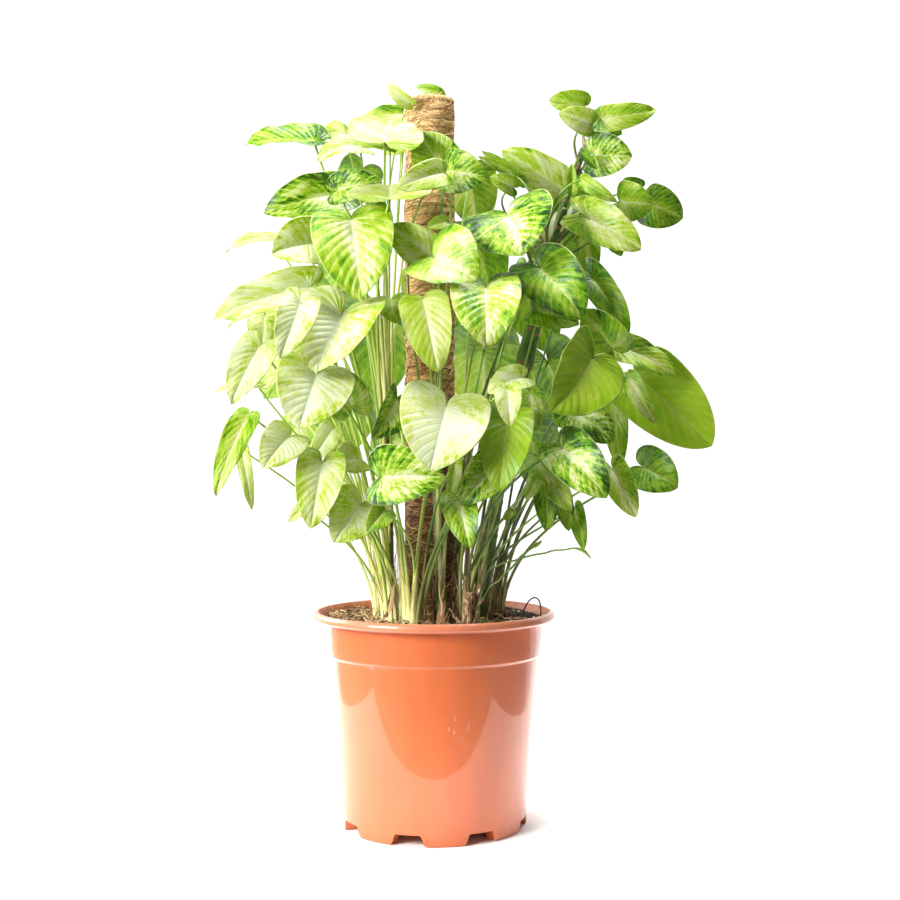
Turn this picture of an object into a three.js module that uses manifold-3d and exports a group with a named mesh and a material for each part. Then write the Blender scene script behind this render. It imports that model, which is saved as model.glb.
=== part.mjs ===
// Variegated arrowhead plant (Syngonium) in a 24 cm plastic nursery pot, climbing a coir pole.
// Millimetres, +Z up. The plant is modelled about the pot's axis and the finished group is then
// moved so that its origin is the middle of its own bounding box, at the foot of the pot.
import * as THREE from 'three';
import { mergeVertices } from 'three/addons/utils/BufferGeometryUtils.js';
import Module from 'manifold-3d';

const wasm = await Module();
wasm.setup();

const GAP = 0.3; // clearance kept between separate pieces that touch

// Pot
const POT_HEIGHT = 211;
const POT_RIM_RADIUS = 120;
const POT_FOOT_RADIUS = 91;
const POT_STEP_HEIGHT = 168.5;
const POT_STEP_RADIUS = 104.7;
const POT_BAND_RADIUS = 107.2;
const POT_NECK_RADIUS = 109;
const POT_WALL = 2.1;
const FOOT_HEIGHT = 11; // the floor stands this high on its notched foot
const FOOT_RING = 12; // how thick the foot is from inside to outside
const FLOOR_THICKNESS = 2.3;
const POT_SIDES = 36;
const NOTCHES = 8;
const NOTCH_FIRST = -15; // degrees from the front, towards +X
const NOTCH_TOP_WIDTH = 16; // degrees
const NOTCH_FOOT_WIDTH = 21;
const DRAIN_HOLES = 4;
const DRAIN_RADIUS = 5;
const DRAIN_RING = 55;
const DRAIN_SIDES = 10;

// Soil
const SOIL_TOP = 198;
const SOIL_UNEVEN = 1.6;
const SOIL_SIDES = 24;

// Coir pole
const POLE_X = -4;
const POLE_RADIUS = 25;
const POLE_TOP = 722;
const POLE_FOOT = 30;
const POLE_SIDES = 14;
const POLE_RING = 70; // height between the rings of its surface
const POLE_LOOSE = 1.6; // how much wider its hole in the soil is
const CAP_THICKNESS = 22; // coir over the top of the core
const CORE_RADIUS = 10;
const CORE_SIDES = 12;

// Leafy stems
const BLADE_THICKNESS = 0.8;
const LOBE_SHARE = 0.45; // share of a blade's outline, from its notch at the petiole to where it is widest
const MIDDLING_BLADE = 1700; // length by width, in square millimetres
const LARGE_BLADE = 5200;
const CROWN_RADIUS = 13;
const CROWN_RING = 9; // petioles stand in a ring of this radius on a crown
const CROWN_SPACING = 28; // degrees between them, closer where they would pass CROWN_SPAN
const CROWN_SPAN = 300;
const CROWN_DEPTH = 24; // how deep a crown is planted
const CROWN_RISE = 12;
const CROWN_SIDES = 6;
const CANE_RADIUS = 6;
const CANE_TAPER = 2.5; // how much thinner a cane is at its top
const CANE_END = 5; // how far it goes on above its last point

// Petioles: a cubic curve. Its first handle stands over the root and leans towards the blade, and its
// second lies below and behind the blade, all as shares of the distance or of the way out.
const PETIOLE_ROOT_RADIUS = 2.8;
const PETIOLE_TIP_RADIUS = 0.3;
const PETIOLE_SIDES = 3;
const PETIOLE_GRIP = 3; // how far along the midrib it runs into the blade
const PETIOLE_ROOT_RISE = 9; // height above the soil where it leaves a crown
const PETIOLE_ROOT_OUT = 3; // distance from the line of a cane where it leaves the cane
const PETIOLE_RISE = 0.45;
const PETIOLE_LEAN = 0.06;
const PETIOLE_DROP = 0.08;
const PETIOLE_BEHIND = 0.14;
const PETIOLE_OVER = 0.22;
const FIRST_SWING = 0.6; // share of a swing that the first handle takes

// The leaves are drawn on a front elevation: what an eye EYE_UP above the floor and EYE_BACK in
// front of the pot's axis sees, measured in a plane DRAWN_Y behind that axis.
const EYE_X = 16;
const EYE_BACK = 1400;
const EYE_UP = 370;
const DRAWN_Y = 8;

// Settling: blades move along the line of sight until they are clear of those placed before.
const SETTLE_STEP = 8;
const SETTLE_MOST = 160;
const DEPTH_LIMIT = 190;
const BLADE_CLEARANCE = 7;
const CANE_MARGIN = 4; // added to the clearance from a cane of another stem
const POLE_BLADE_GAP = 5;

// Routing: petioles swing aside or deeper until they are clear of what is not their own.
const SWINGS = 4;
const SWING_STRAIGHT = 14;
const SWING_ASLANT = 10;
const SWING_COST = 0.02; // a small swing is chosen before a large one
const GOOD_ROUTE = 0.2;
const PETIOLE_CLEARANCE = 8;
const OWN_BLADE_GAP = 4;
const POLE_PETIOLE_GAP = 4;
const STEM_GAP = 6.5;

// Each stem: its crown in the soil (x, y), the points of its cane above that, where it climbs, and
// how far below its blade a petiole leaves the cane.
const STEMS = {
  a: { name: 'stem_front_left', crown: [-40, -34], cane: [] },
  b: { name: 'stem_left', crown: [-50, -2], cane: [] },
  c: { name: 'stem_left_climbing', crown: [-46, 28], cane: [[-46, 20, 430]], reach: 280 },
  d: { name: 'stem_front', crown: [-18, -62], cane: [] },
  e: { name: 'stem_front_climbing', crown: [9, -54], cane: [[2, -46, 350]], reach: 280 },
  f: { name: 'stem_front_right', crown: [34, -40], cane: [] },
  g: {
    name: 'stem_right_climbing',
    crown: [44, -4],
    cane: [[84, -14, 450], [112, -22, 560], [130, -20, 606]],
    reach: 70,
  },
  l: {
    name: 'stem_right_tall',
    crown: [32, 24],
    cane: [[92, 14, 440], [124, 0, 600], [150, -8, 668]],
    reach: 34,
  },
  h: { name: 'stem_right', crown: [60, 22], cane: [] },
  i: { name: 'stem_back_right', crown: [17, 50], cane: [[30, 60, 360]], reach: 280 },
  j: { name: 'stem_back', crown: [-12, 52], cane: [] },
  k: { name: 'stem_back_left', crown: [-40, 58], cane: [] },
};

// One row for each leaf, the most prominent first: its label, the drawn place (x, z) where its
// petiole meets the blade, the drawn place of its tip, the blade's width, the depth of the petiole
// end and how much deeper the tip lies, the turn of its face about the midrib and the fold of its
// halves in degrees, the bow of the midrib and the reach of the basal lobes as shares of its
// length, and the stem that bears it.
const LEAVES = [
  ["A31", 12, 413, -4, 349, 92, -125, -42, 0, 12, 0.1, 0.52, "d"],
  ["A37", -51, 343, 12, 343, 62, -125, -22, 8, 22, 0.1, 0.3, "d"],
  ["A15", -83, 600, -72, 522, 84, -75, -35, 0, 10, 0.08, 0.24, "c"],
  ["A24", -117, 446, -135, 392, 80, -118, -32, 0, 10, 0.1, 0.38, "a"],
  ["A20", -93, 504, -117, 448, 92, -95, -30, -24, 20, 0.08, 0.6, "b"],
  ["A16", -126, 533, -221, 502, 44, -60, -26, -28, 24, 0.06, 0.22, "b"],
  ["B1", 74, 604, 89, 566, 96, -66, -40, 0, 8, 0.06, 0.55, "g"],
  ["B28", 203, 445, 278, 374, 78, 0, -10, 6, 10, 0.05, 0.16, "h"],
  ["B18", 52, 531, 52, 473, 72, -105, -32, 0, 16, 0.1, 0.45, "e"],
  ["A34", 1, 562, 42, 539, 76, -72, -26, 24, 22, 0.08, 0.3, "e"],
  ["A34a", 0, 563, -46, 594, 42, -66, -4, 0, 12, 0.1, 0.15, "e"],
  ["B22", 107, 551, 149, 502, 64, -62, -24, 10, 12, 0.12, 0.45, "f"],
  ["B32", 129, 372, 173, 323, 54, -100, -26, 8, 14, 0.1, 0.3, "f"],
  ["B26", 158, 462, 117, 408, 78, -85, -28, 24, 22, 0.06, 0.25, "f"],
  ["B36", 74, 402, 65, 329, 54, -120, -30, 0, 12, 0.08, 0.25, "d"],
  ["A32", -11, 521, 4, 448, 52, -98, -20, 0, 8, 0.08, 0.12, "e"],
  ["A36a", 9, 649, -14, 687, 52, -42, -6, 0, 14, 0.08, 0.2, "e"],
  ["A36b", 13, 649, 53, 643, 46, -43, -14, 6, 12, 0.12, 0.2, "e"],
  ["A36c", 10, 647, -37, 632, 32, -44, -20, -16, 14, 0.12, 0.15, "e"],
  ["B16", 156, 601, 207, 571, 44, -45, -18, 10, 14, 0.1, 0.58, "g"],
  ["B10", 160, 665, 198, 663, 46, -25, -14, 6, 12, 0.1, 0.3, "l"],
  ["B2", 132, 626, 68, 670, 44, -30, -10, -10, 14, 0.1, 0.15, "g"],
  ["B5", 132, 619, 97, 580, 46, -24, -12, 0, 10, 0.1, 0.15, "g"],
  ["B23", 160, 540, 195, 487, 32, -40, -14, 8, 14, 0.1, 0.45, "g"],
  ["A13", -121, 576, -162, 567, 54, -44, -26, -22, 20, 0.08, 0.45, "b"],
  ["A10", -101, 625, -170, 607, 48, -30, -20, -20, 20, 0.08, 0.38, "c"],
  ["A40", -112, 357, -123, 292, 50, -105, -30, 0, 16, 0.1, 0.28, "a"],
  ["A39", -74, 315, -100, 278, 54, -112, -26, 0, 16, 0.1, 0.35, "a"],
  ["A25", -185, 406, -219, 325, 29, -70, -26, -16, 16, 0.1, 0.08, "a"],
  ["A22", -174, 474, -203, 417, 42, -78, -26, -10, 16, 0.1, 0.25, "a"],
  ["A27", -145, 383, -171, 352, 46, -95, -26, -10, 16, 0.12, 0.4, "a"],
  ["A21", -169, 503, -173, 465, 36, -76, -22, 0, 18, 0.1, 0.3, "b"],
  ["A19", -134, 515, -154, 462, 40, -86, -24, 0, 20, 0.1, 0.35, "b"],
  ["A44", 60, 354, 27, 316, 44, -108, -22, 0, 22, 0.1, 0.3, "d"],
  ["A45", 24, 320, 36, 272, 36, -112, -26, 0, 14, 0.1, 0.35, "d"],
  ["A42", -77, 362, -101, 352, 38, -104, -22, -16, 14, 0.12, 0.45, "a"],
  ["A29", -83, 414, -92, 451, 44, -112, -18, 0, 16, 0.1, 0.45, "a"],
  ["A30", -38, 420, -62, 382, 38, -88, -18, 26, 30, 0.1, 0.3, "d"],
  ["A28", -102, 390, -122, 360, 26, -58, -12, 0, 12, 0.1, 0.2, "a"],
  ["A33", -43, 520, -38, 497, 34, -60, -12, 0, 14, 0.1, 0.3, "c"],
  ["A38", -50, 308, -67, 289, 26, -104, -14, 0, 18, 0.1, 0.35, "d"],
  ["A43", 21, 356, 12, 312, 16, -92, -12, 20, 20, 0.08, 0.2, "d"],
  ["A1", -120, 679, -188, 677, 44, -12, -8, -62, 20, 0.03, 0.25, "c"],
  ["A3", -88, 684, -114, 682, 30, 20, 0, -50, 12, 0.22, 0.2, "c"],
  ["A4", -74, 673, -117, 660, 28, -28, -12, -45, 14, 0.16, 0.3, "c"],
  ["A5", -32, 706, -73, 700, 20, 34, 0, -30, 18, 0.08, 0.2, "c"],
  ["A6", -49, 678, -46, 701, 78, -32, 46, 0, 6, 0.05, 0.2, "c"],
  ["A7", -30, 681, -50, 667, 26, 6, 0, -10, 16, 0.1, 0.3, "c"],
  ["A7b", -44, 674, -82, 677, 18, -2, 0, -40, 10, 0.08, 0.2, "c"],
  ["A8", -24, 717, -46, 739, 15, -8, 0, 20, 30, 0.16, 0.2, "c"],
  ["A9", 6, 724, -18, 733, 15, 42, 0, -30, 20, 0.1, 0.2, "c"],
  ["A11", -96, 630, -52, 638, 34, -6, -6, 20, 16, 0.1, 0.3, "c"],
  ["A12", -44, 621, -45, 635, 88, -62, 40, 0, 6, 0.05, 0.15, "c"],
  ["A14", -161, 581, -208, 569, 18, -8, 0, -50, 18, 0.12, 0.2, "c"],
  ["A17", -160, 502, -209, 489, 16, -24, -6, -62, 20, 0.22, 0.1, "b"],
  ["A18", -144, 521, -183, 509, 20, -38, -8, -30, 18, 0.1, 0.25, "b"],
  ["A23", -176, 434, -220, 427, 14, -36, -6, -50, 20, 0.1, 0.2, "b"],
  ["A26", -192, 370, -182, 310, 15, -56, -8, 0, 20, 0.1, 0.2, "b"],
  ["A35", 12, 598, -7, 592, 16, -50, -6, -20, 16, 0.1, 0.2, "e"],
  ["A41", -130, 312, -145, 298, 14, -70, -4, -20, 16, 0.1, 0.2, "a"],
  ["B3a", 86, 640, 48, 669, 13, -8, -4, -10, 30, 0.06, 0.2, "g"],
  ["B3b", 82, 643, 44, 664, 11, -12, -6, -10, 30, 0.06, 0.2, "g"],
  ["B4", 79, 633, 56, 643, 20, -38, -8, -10, 16, 0.1, 0.3, "g"],
  ["B6", 150, 714, 115, 720, 28, -6, -6, -10, 16, 0.12, 0.2, "l"],
  ["B7", 156, 696, 125, 707, 28, -18, -8, -10, 14, 0.1, 0.2, "l"],
  ["B8", 166, 700, 222, 710, 28, 8, -4, 0, 12, 0.1, 0.1, "l"],
  ["B9", 158, 696, 188, 686, 26, -6, -4, 20, 30, 0.1, 0.3, "l"],
  ["B11", 147, 640, 183, 618, 16, -42, -8, 0, 18, 0.2, 0.1, "g"],
  ["B12", 138, 627, 138, 657, 11, -38, -4, 0, 44, 0.05, 0.1, "g"],
  ["B12b", 148, 668, 163, 651, 10, -34, -2, 0, 40, 0.05, 0.1, "l"],
  ["B13", 186, 619, 220, 615, 42, -14, -10, 0, 14, 0.12, 0.15, "g"],
  ["B14", 207, 633, 189, 641, 15, 14, 0, 0, 14, 0.1, 0.15, "g"],
  ["B15", 214, 617, 249, 602, 44, 20, -6, 0, 14, 0.1, 0.2, "g"],
  ["B17", 172, 588, 188, 564, 20, -22, -6, 10, 18, 0.1, 0.2, "g"],
  ["B19", 83, 536, 74, 505, 18, -72, -8, 0, 18, 0.1, 0.2, "f"],
  ["B20", 93, 556, 90, 518, 22, -56, -8, 0, 18, 0.1, 0.2, "f"],
  ["B21", 104, 509, 145, 496, 36, -72, -14, 16, 16, 0.1, 0.3, "f"],
  ["B24", 154, 586, 158, 540, 24, 8, -4, 0, 16, 0.1, 0.2, "h"],
  ["B25", 178, 472, 150, 511, 46, -60, -10, 0, 18, 0.12, 0.3, "h"],
  ["B27", 179, 475, 241, 446, 34, -34, -10, 26, 12, 0.1, 0.15, "h"],
  ["B29", 194, 442, 222, 396, 22, -22, -8, 0, 16, 0.08, 0.15, "h"],
  ["B31", 140, 408, 180, 379, 46, -84, -18, 12, 16, 0.1, 0.35, "h"],
  ["B33", 178, 428, 186, 352, 28, 12, -4, 0, 16, 0.1, 0.2, "h"],
  ["B34", 179, 350, 202, 303, 32, -56, -14, 0, 16, 0.1, 0.3, "h"],
  ["B35", 209, 353, 244, 333, 48, -24, -20, 8, 14, 0.12, 0.45, "h"],
  ["B37", 87, 442, 54, 427, 32, -94, -12, -24, 16, 0.1, 0.35, "f"],
  ["B38", 74, 430, 76, 394, 28, -106, -12, 0, 18, 0.1, 0.3, "d"],
  ["B39", 96, 425, 102, 389, 28, -96, -12, 0, 18, 0.1, 0.3, "f"],
  ["B40", 98, 427, 97, 450, 9, -84, -2, 0, 44, 0.05, 0.1, "f"],
  ["B41", 104, 361, 137, 309, 32, -92, -20, 0, 20, 0.1, 0.3, "f"],
  ["B42", 113, 342, 113, 289, 30, -82, -14, 0, 18, 0.1, 0.3, "f"],
  ["B43", 128, 325, 135, 289, 20, -66, -10, 0, 20, 0.1, 0.25, "f"],
  ["B44", 141, 312, 150, 270, 18, -72, -12, 0, 20, 0.1, 0.2, "f"],
  ["B45", 102, 340, 92, 320, 16, -96, -6, 0, 18, 0.1, 0.25, "f"],
  ["B46", 78, 309, 69, 300, 10, -92, -4, 0, 18, 0.1, 0.25, "f"],
  ["C1", -104, 520, -134, 468, 60, 95, 34, 180, 12, 0.1, 0.35, "k"],
  ["C2", -82, 590, -100, 524, 66, 112, 36, 180, 12, 0.1, 0.35, "k"],
  ["C3", -138, 475, -170, 422, 54, 72, 20, 170, 14, 0.1, 0.3, "k"],
  ["C4", -52, 498, -56, 418, 74, 135, 44, 180, 12, 0.1, 0.4, "j"],
  ["C5", -2, 534, 6, 458, 64, 122, 44, 180, 12, 0.1, 0.4, "j"],
  ["C6", 42, 584, 60, 520, 60, 104, 34, 180, 12, 0.1, 0.35, "i"],
  ["C7", 90, 530, 118, 468, 60, 108, 36, 180, 12, 0.1, 0.35, "i"],
  ["C8", 118, 582, 150, 516, 58, 72, 20, 190, 14, 0.1, 0.3, "i"],
  ["C9", 50, 470, 52, 390, 74, 142, 44, 180, 12, 0.1, 0.4, "i"],
  ["C10", 114, 458, 146, 384, 64, 118, 38, 180, 12, 0.1, 0.35, "i"],
  ["C11", 156, 428, 190, 376, 50, 76, 22, 190, 14, 0.1, 0.3, "h"],
  ["C12", -82, 416, -104, 358, 60, 118, 36, 180, 12, 0.1, 0.35, "k"],
  ["C13", -128, 402, -158, 360, 48, 84, 22, 170, 14, 0.1, 0.3, "k"],
  ["C14", -32, 380, -38, 316, 64, 124, 46, 180, 12, 0.1, 0.4, "j"],
  ["C15", 18, 350, 28, 294, 54, 110, 40, 180, 12, 0.1, 0.35, "j"],
  ["C16", 94, 392, 118, 320, 58, 96, 30, 180, 14, 0.1, 0.3, "i"],
  ["C17", -72, 650, -90, 612, 46, 58, 16, 180, 14, 0.1, 0.3, "c"],
  ["C18", 132, 634, 156, 596, 44, 52, 14, 180, 14, 0.1, 0.3, "g"],
  ["C19", 36, 644, 44, 592, 54, 62, 18, 180, 14, 0.1, 0.3, "j"],
];

// Thin runners and aerial roots: the stem they grow from, their radius and their drawn points
// (x, z) with a depth for each.
const RUNNERS = [
  { stem: 'f', radius: 1.4, points: [[56, 232, -62], [76, 250, -70], [88, 265, -72], [109, 280, -66]] },
  { stem: 'f', radius: 1.1, points: [[54, 250, -60], [69, 257, -78], [106, 267, -84], [146, 273, -80],
    [158, 260, -78]] },
];

// A short brown stump of a stem that was cut off.
const STUMP = { foot: [30, -74, SOIL_TOP - 16], top: [35, -76, 236], radius: 4.2, sides: 8 };

// ---------------------------------------------------------------- solids

function solidOf(geometry) {
  const bare = geometry.index ? geometry.toNonIndexed() : geometry.clone();
  bare.deleteAttribute('normal');
  bare.deleteAttribute('uv');
  const merged = mergeVertices(bare, 1e-4);
  return new wasm.Manifold(new wasm.Mesh({
    numProp: 3,
    vertProperties: new Float32Array(merged.attributes.position.array),
    triVerts: new Uint32Array(merged.index.array),
  }));
}

// The one body of a solid, with the hollows that joining sealed inside it filled.
function outerBody(name, solid) {
  const bodies = solid.decompose().filter((body) => body.volume() > 0);
  if (bodies.length !== 1) {
    throw new Error(`${name} is in ${bodies.length} pieces`);
  }
  return bodies[0];
}

function geometryOf(solid) {
  const mesh = solid.getMesh();
  const geometry = new THREE.BufferGeometry();
  geometry.setAttribute('position', new THREE.BufferAttribute(mesh.vertProperties, 3));
  geometry.setIndex(new THREE.BufferAttribute(mesh.triVerts, 1));
  return geometry;
}

function geometryFrom(points, faces) {
  const geometry = new THREE.BufferGeometry();
  geometry.setAttribute('position', new THREE.Float32BufferAttribute(points.flat(), 3));
  geometry.setIndex(faces.flat());
  return geometry;
}

// A tube with `sides` flats through a list of centres, each with its own radius, closed at its ends.
function tube(centres, radii, sides) {
  const rings = [];
  let across = new THREE.Vector3(1, 0, 0);
  centres.forEach((centre, i) => {
    const before = centres[Math.max(i - 1, 0)];
    const after = centres[Math.min(i + 1, centres.length - 1)];
    const along = after.clone().sub(before).normalize();
    across = across.clone().addScaledVector(along, -across.dot(along)).normalize();
    const other = along.clone().cross(across);
    for (let k = 0; k < sides; k += 1) {
      const angle = (2 * Math.PI * k) / sides;
      const point = centre.clone().addScaledVector(across, radii[i] * Math.cos(angle));
      rings.push(point.addScaledVector(other, radii[i] * Math.sin(angle)).toArray());
    }
  });
  const faces = [];
  for (let i = 0; i < centres.length - 1; i += 1) {
    for (let k = 0; k < sides; k += 1) {
      const a = i * sides + k;
      const b = i * sides + ((k + 1) % sides);
      faces.push([a, b, b + sides], [a, b + sides, a + sides]);
    }
  }
  const last = (centres.length - 1) * sides;
  for (let k = 1; k < sides - 1; k += 1) {
    faces.push([0, k + 1, k], [last, last + k, last + k + 1]);
  }
  return solidOf(geometryFrom(rings, faces));
}

function turned(profile, sides) {
  return solidOf(new THREE.LatheGeometry(profile.map(([r, z]) => new THREE.Vector2(r, z)), sides)
    .rotateX(Math.PI / 2));
}

function pillar(x, y, from, to, radius, sides) {
  return solidOf(new THREE.CylinderGeometry(radius, radius, to - from, sides)
    .rotateX(Math.PI / 2).translate(x, y, (from + to) / 2));
}

// ---------------------------------------------------------------- pot, soil and pole

// A wedge through the foot ring, wider at the floor than at its top.
function footNotch(degrees) {
  const points = [];
  for (const [z, width] of [[-1, NOTCH_FOOT_WIDTH + 0.8], [FOOT_HEIGHT - 0.2, NOTCH_TOP_WIDTH]]) {
    for (const radius of [POT_FOOT_RADIUS - FOOT_RING - 8, POT_FOOT_RADIUS + 8]) {
      for (const side of [-1, 1]) {
        const angle = THREE.MathUtils.degToRad(degrees + (side * width) / 2);
        points.push([radius * Math.sin(angle), -radius * Math.cos(angle), z]);
      }
    }
  }
  return solidOf(geometryFrom(points, [
    [0, 1, 2], [1, 3, 2], [4, 6, 5], [5, 6, 7], [0, 4, 1], [1, 4, 5],
    [2, 3, 6], [3, 7, 6], [0, 2, 4], [2, 6, 4], [1, 5, 3], [3, 5, 7],
  ]));
}

function makePot() {
  const inner = POT_FOOT_RADIUS - POT_WALL;
  const floorTop = FOOT_HEIGHT + FLOOR_THICKNESS;
  let pot = turned([
    [0, FOOT_HEIGHT],
    [POT_FOOT_RADIUS - FOOT_RING, FOOT_HEIGHT],
    [POT_FOOT_RADIUS - FOOT_RING, 0],
    [POT_FOOT_RADIUS - 1, 0],
    [POT_FOOT_RADIUS + 0.1, 1.2],
    [POT_STEP_RADIUS, POT_STEP_HEIGHT - 0.7],
    [POT_BAND_RADIUS, POT_STEP_HEIGHT + 1.5],
    [POT_NECK_RADIUS, POT_HEIGHT - 8.5],
    [POT_RIM_RADIUS - 2, POT_HEIGHT - 8.5],
    [POT_RIM_RADIUS, POT_HEIGHT - 6.5],
    [POT_RIM_RADIUS - 0.3, POT_HEIGHT - 2.5],
    [POT_RIM_RADIUS - 3, POT_HEIGHT],
    [POT_RIM_RADIUS - 6.5, POT_HEIGHT - 0.3],
    [POT_RIM_RADIUS - 9.5, POT_HEIGHT - 3.5],
    [POT_NECK_RADIUS - POT_WALL, POT_HEIGHT - 12],
    [POT_BAND_RADIUS - POT_WALL, POT_STEP_HEIGHT + 1.5],
    [POT_STEP_RADIUS - POT_WALL, POT_STEP_HEIGHT - 1.5],
    [inner - 1, floorTop],
    [0, floorTop],
  ], POT_SIDES);
  for (let k = 0; k < NOTCHES; k += 1) {
    pot = pot.subtract(footNotch(NOTCH_FIRST + (k * 360) / NOTCHES));
  }
  for (let k = 0; k < DRAIN_HOLES; k += 1) {
    const angle = (2 * Math.PI * (k + 0.5)) / DRAIN_HOLES;
    const x = DRAIN_RING * Math.cos(angle);
    const y = DRAIN_RING * Math.sin(angle);
    pot = pot.subtract(pillar(x, y, FOOT_HEIGHT - 2, floorTop + 2, DRAIN_RADIUS, DRAIN_SIDES));
  }
  return pot;
}

// The height of the potting mix at a place: two crossed waves, about 50 and 26 mm long.
function soilHeight(x, y) {
  const broad = Math.sin(x * 0.13 + 1) * Math.cos(y * 0.11 + 0.5);
  const short = Math.sin((x - y) * 0.24);
  return SOIL_TOP + SOIL_UNEVEN * (broad + 0.6 * short);
}

// Potting mix with an uneven top and a plain hole for everything that stands in it.
function makeSoil(planted) {
  const floor = FOOT_HEIGHT + FLOOR_THICKNESS + GAP;
  const wall = POT_WALL + GAP + 0.1;
  const profile = [
    [0, floor],
    [POT_FOOT_RADIUS - wall - 1, floor],
    [POT_STEP_RADIUS - wall - 0.4, POT_STEP_HEIGHT - 2],
    [POT_BAND_RADIUS - wall - 0.4, POT_STEP_HEIGHT + 1.5],
    [POT_NECK_RADIUS - wall - 0.6, SOIL_TOP],
    [95, SOIL_TOP + 0.5],
    [68, SOIL_TOP + 0.5],
    [50, SOIL_TOP + 0.5],
    [0, SOIL_TOP],
  ];
  const lathe = new THREE.LatheGeometry(profile.map(([r, z]) => new THREE.Vector2(r, z)), SOIL_SIDES)
    .rotateX(Math.PI / 2);
  const place = lathe.attributes.position;
  for (let i = 0; i < place.count; i += 1) {
    if (place.getZ(i) > SOIL_TOP + 0.2) {
      place.setZ(i, soilHeight(place.getX(i), place.getY(i)));
    }
  }
  let soil = solidOf(lathe);
  for (const hole of planted) {
    soil = soil.subtract(hole);
  }
  return soil;
}

function poleRadiusAt(z) {
  return POLE_RADIUS + 0.35 * Math.sin(z * 0.11) + 0.2 * Math.sin(z * 0.31);
}

// Coir wound round the core and closed over its top, with a gently uneven girth.
function makeCoir() {
  const profile = [[CORE_RADIUS + GAP, POLE_FOOT], [poleRadiusAt(POLE_FOOT), POLE_FOOT]];
  for (let z = SOIL_TOP; z < POLE_TOP - CAP_THICKNESS; z += POLE_RING) {
    profile.push([poleRadiusAt(z), z]);
  }
  profile.push(
    [POLE_RADIUS, POLE_TOP - 11],
    [POLE_RADIUS - 2, POLE_TOP - 5],
    [POLE_RADIUS - 8, POLE_TOP - 1],
    [0, POLE_TOP],
    [0, POLE_TOP - CAP_THICKNESS],
    [CORE_RADIUS + GAP, POLE_TOP - CAP_THICKNESS],
  );
  return turned([...profile, profile[0]], POLE_SIDES).translate(POLE_X, 0, 0);
}

// ---------------------------------------------------------------- leaves

// A drawn place carried along the line of sight to the depth y.
function sight(x, z, y) {
  const scale = (y + EYE_BACK) / (DRAWN_Y + EYE_BACK);
  return new THREE.Vector3(EYE_X + (x - EYE_X) * scale, y, EYE_UP + (z - EYE_UP) * scale);
}

function cubic(a, b, c, d, t) {
  const s = 1 - t;
  return a * s ** 3 + 3 * b * t * s * s + 3 * c * t * t * s + d * t ** 3;
}

// The outline of half a blade: from the petiole round the basal lobe (s = 0 to LOBE_SHARE) and on
// to the tip (s = 1), as shares of the length and of half the width.
function outline(s, lobe) {
  if (s < LOBE_SHARE) {
    const t = s / LOBE_SHARE;
    return [cubic(0, -1.35 * lobe, -1.3 * lobe, 0.12, t), cubic(0, 0.05, 1.05, 1, t)];
  }
  const t = (s - LOBE_SHARE) / (1 - LOBE_SHARE);
  return [cubic(0.12, 0.58, 0.92, 1, t), cubic(1, 1.02, 0.56, 0, t)];
}

// Where on the midrib the side vein starts that ends at outline share s.
function veinRoot(s) {
  return Math.max((s - LOBE_SHARE) / (1 - LOBE_SHARE), 0) ** 1.3;
}

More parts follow.
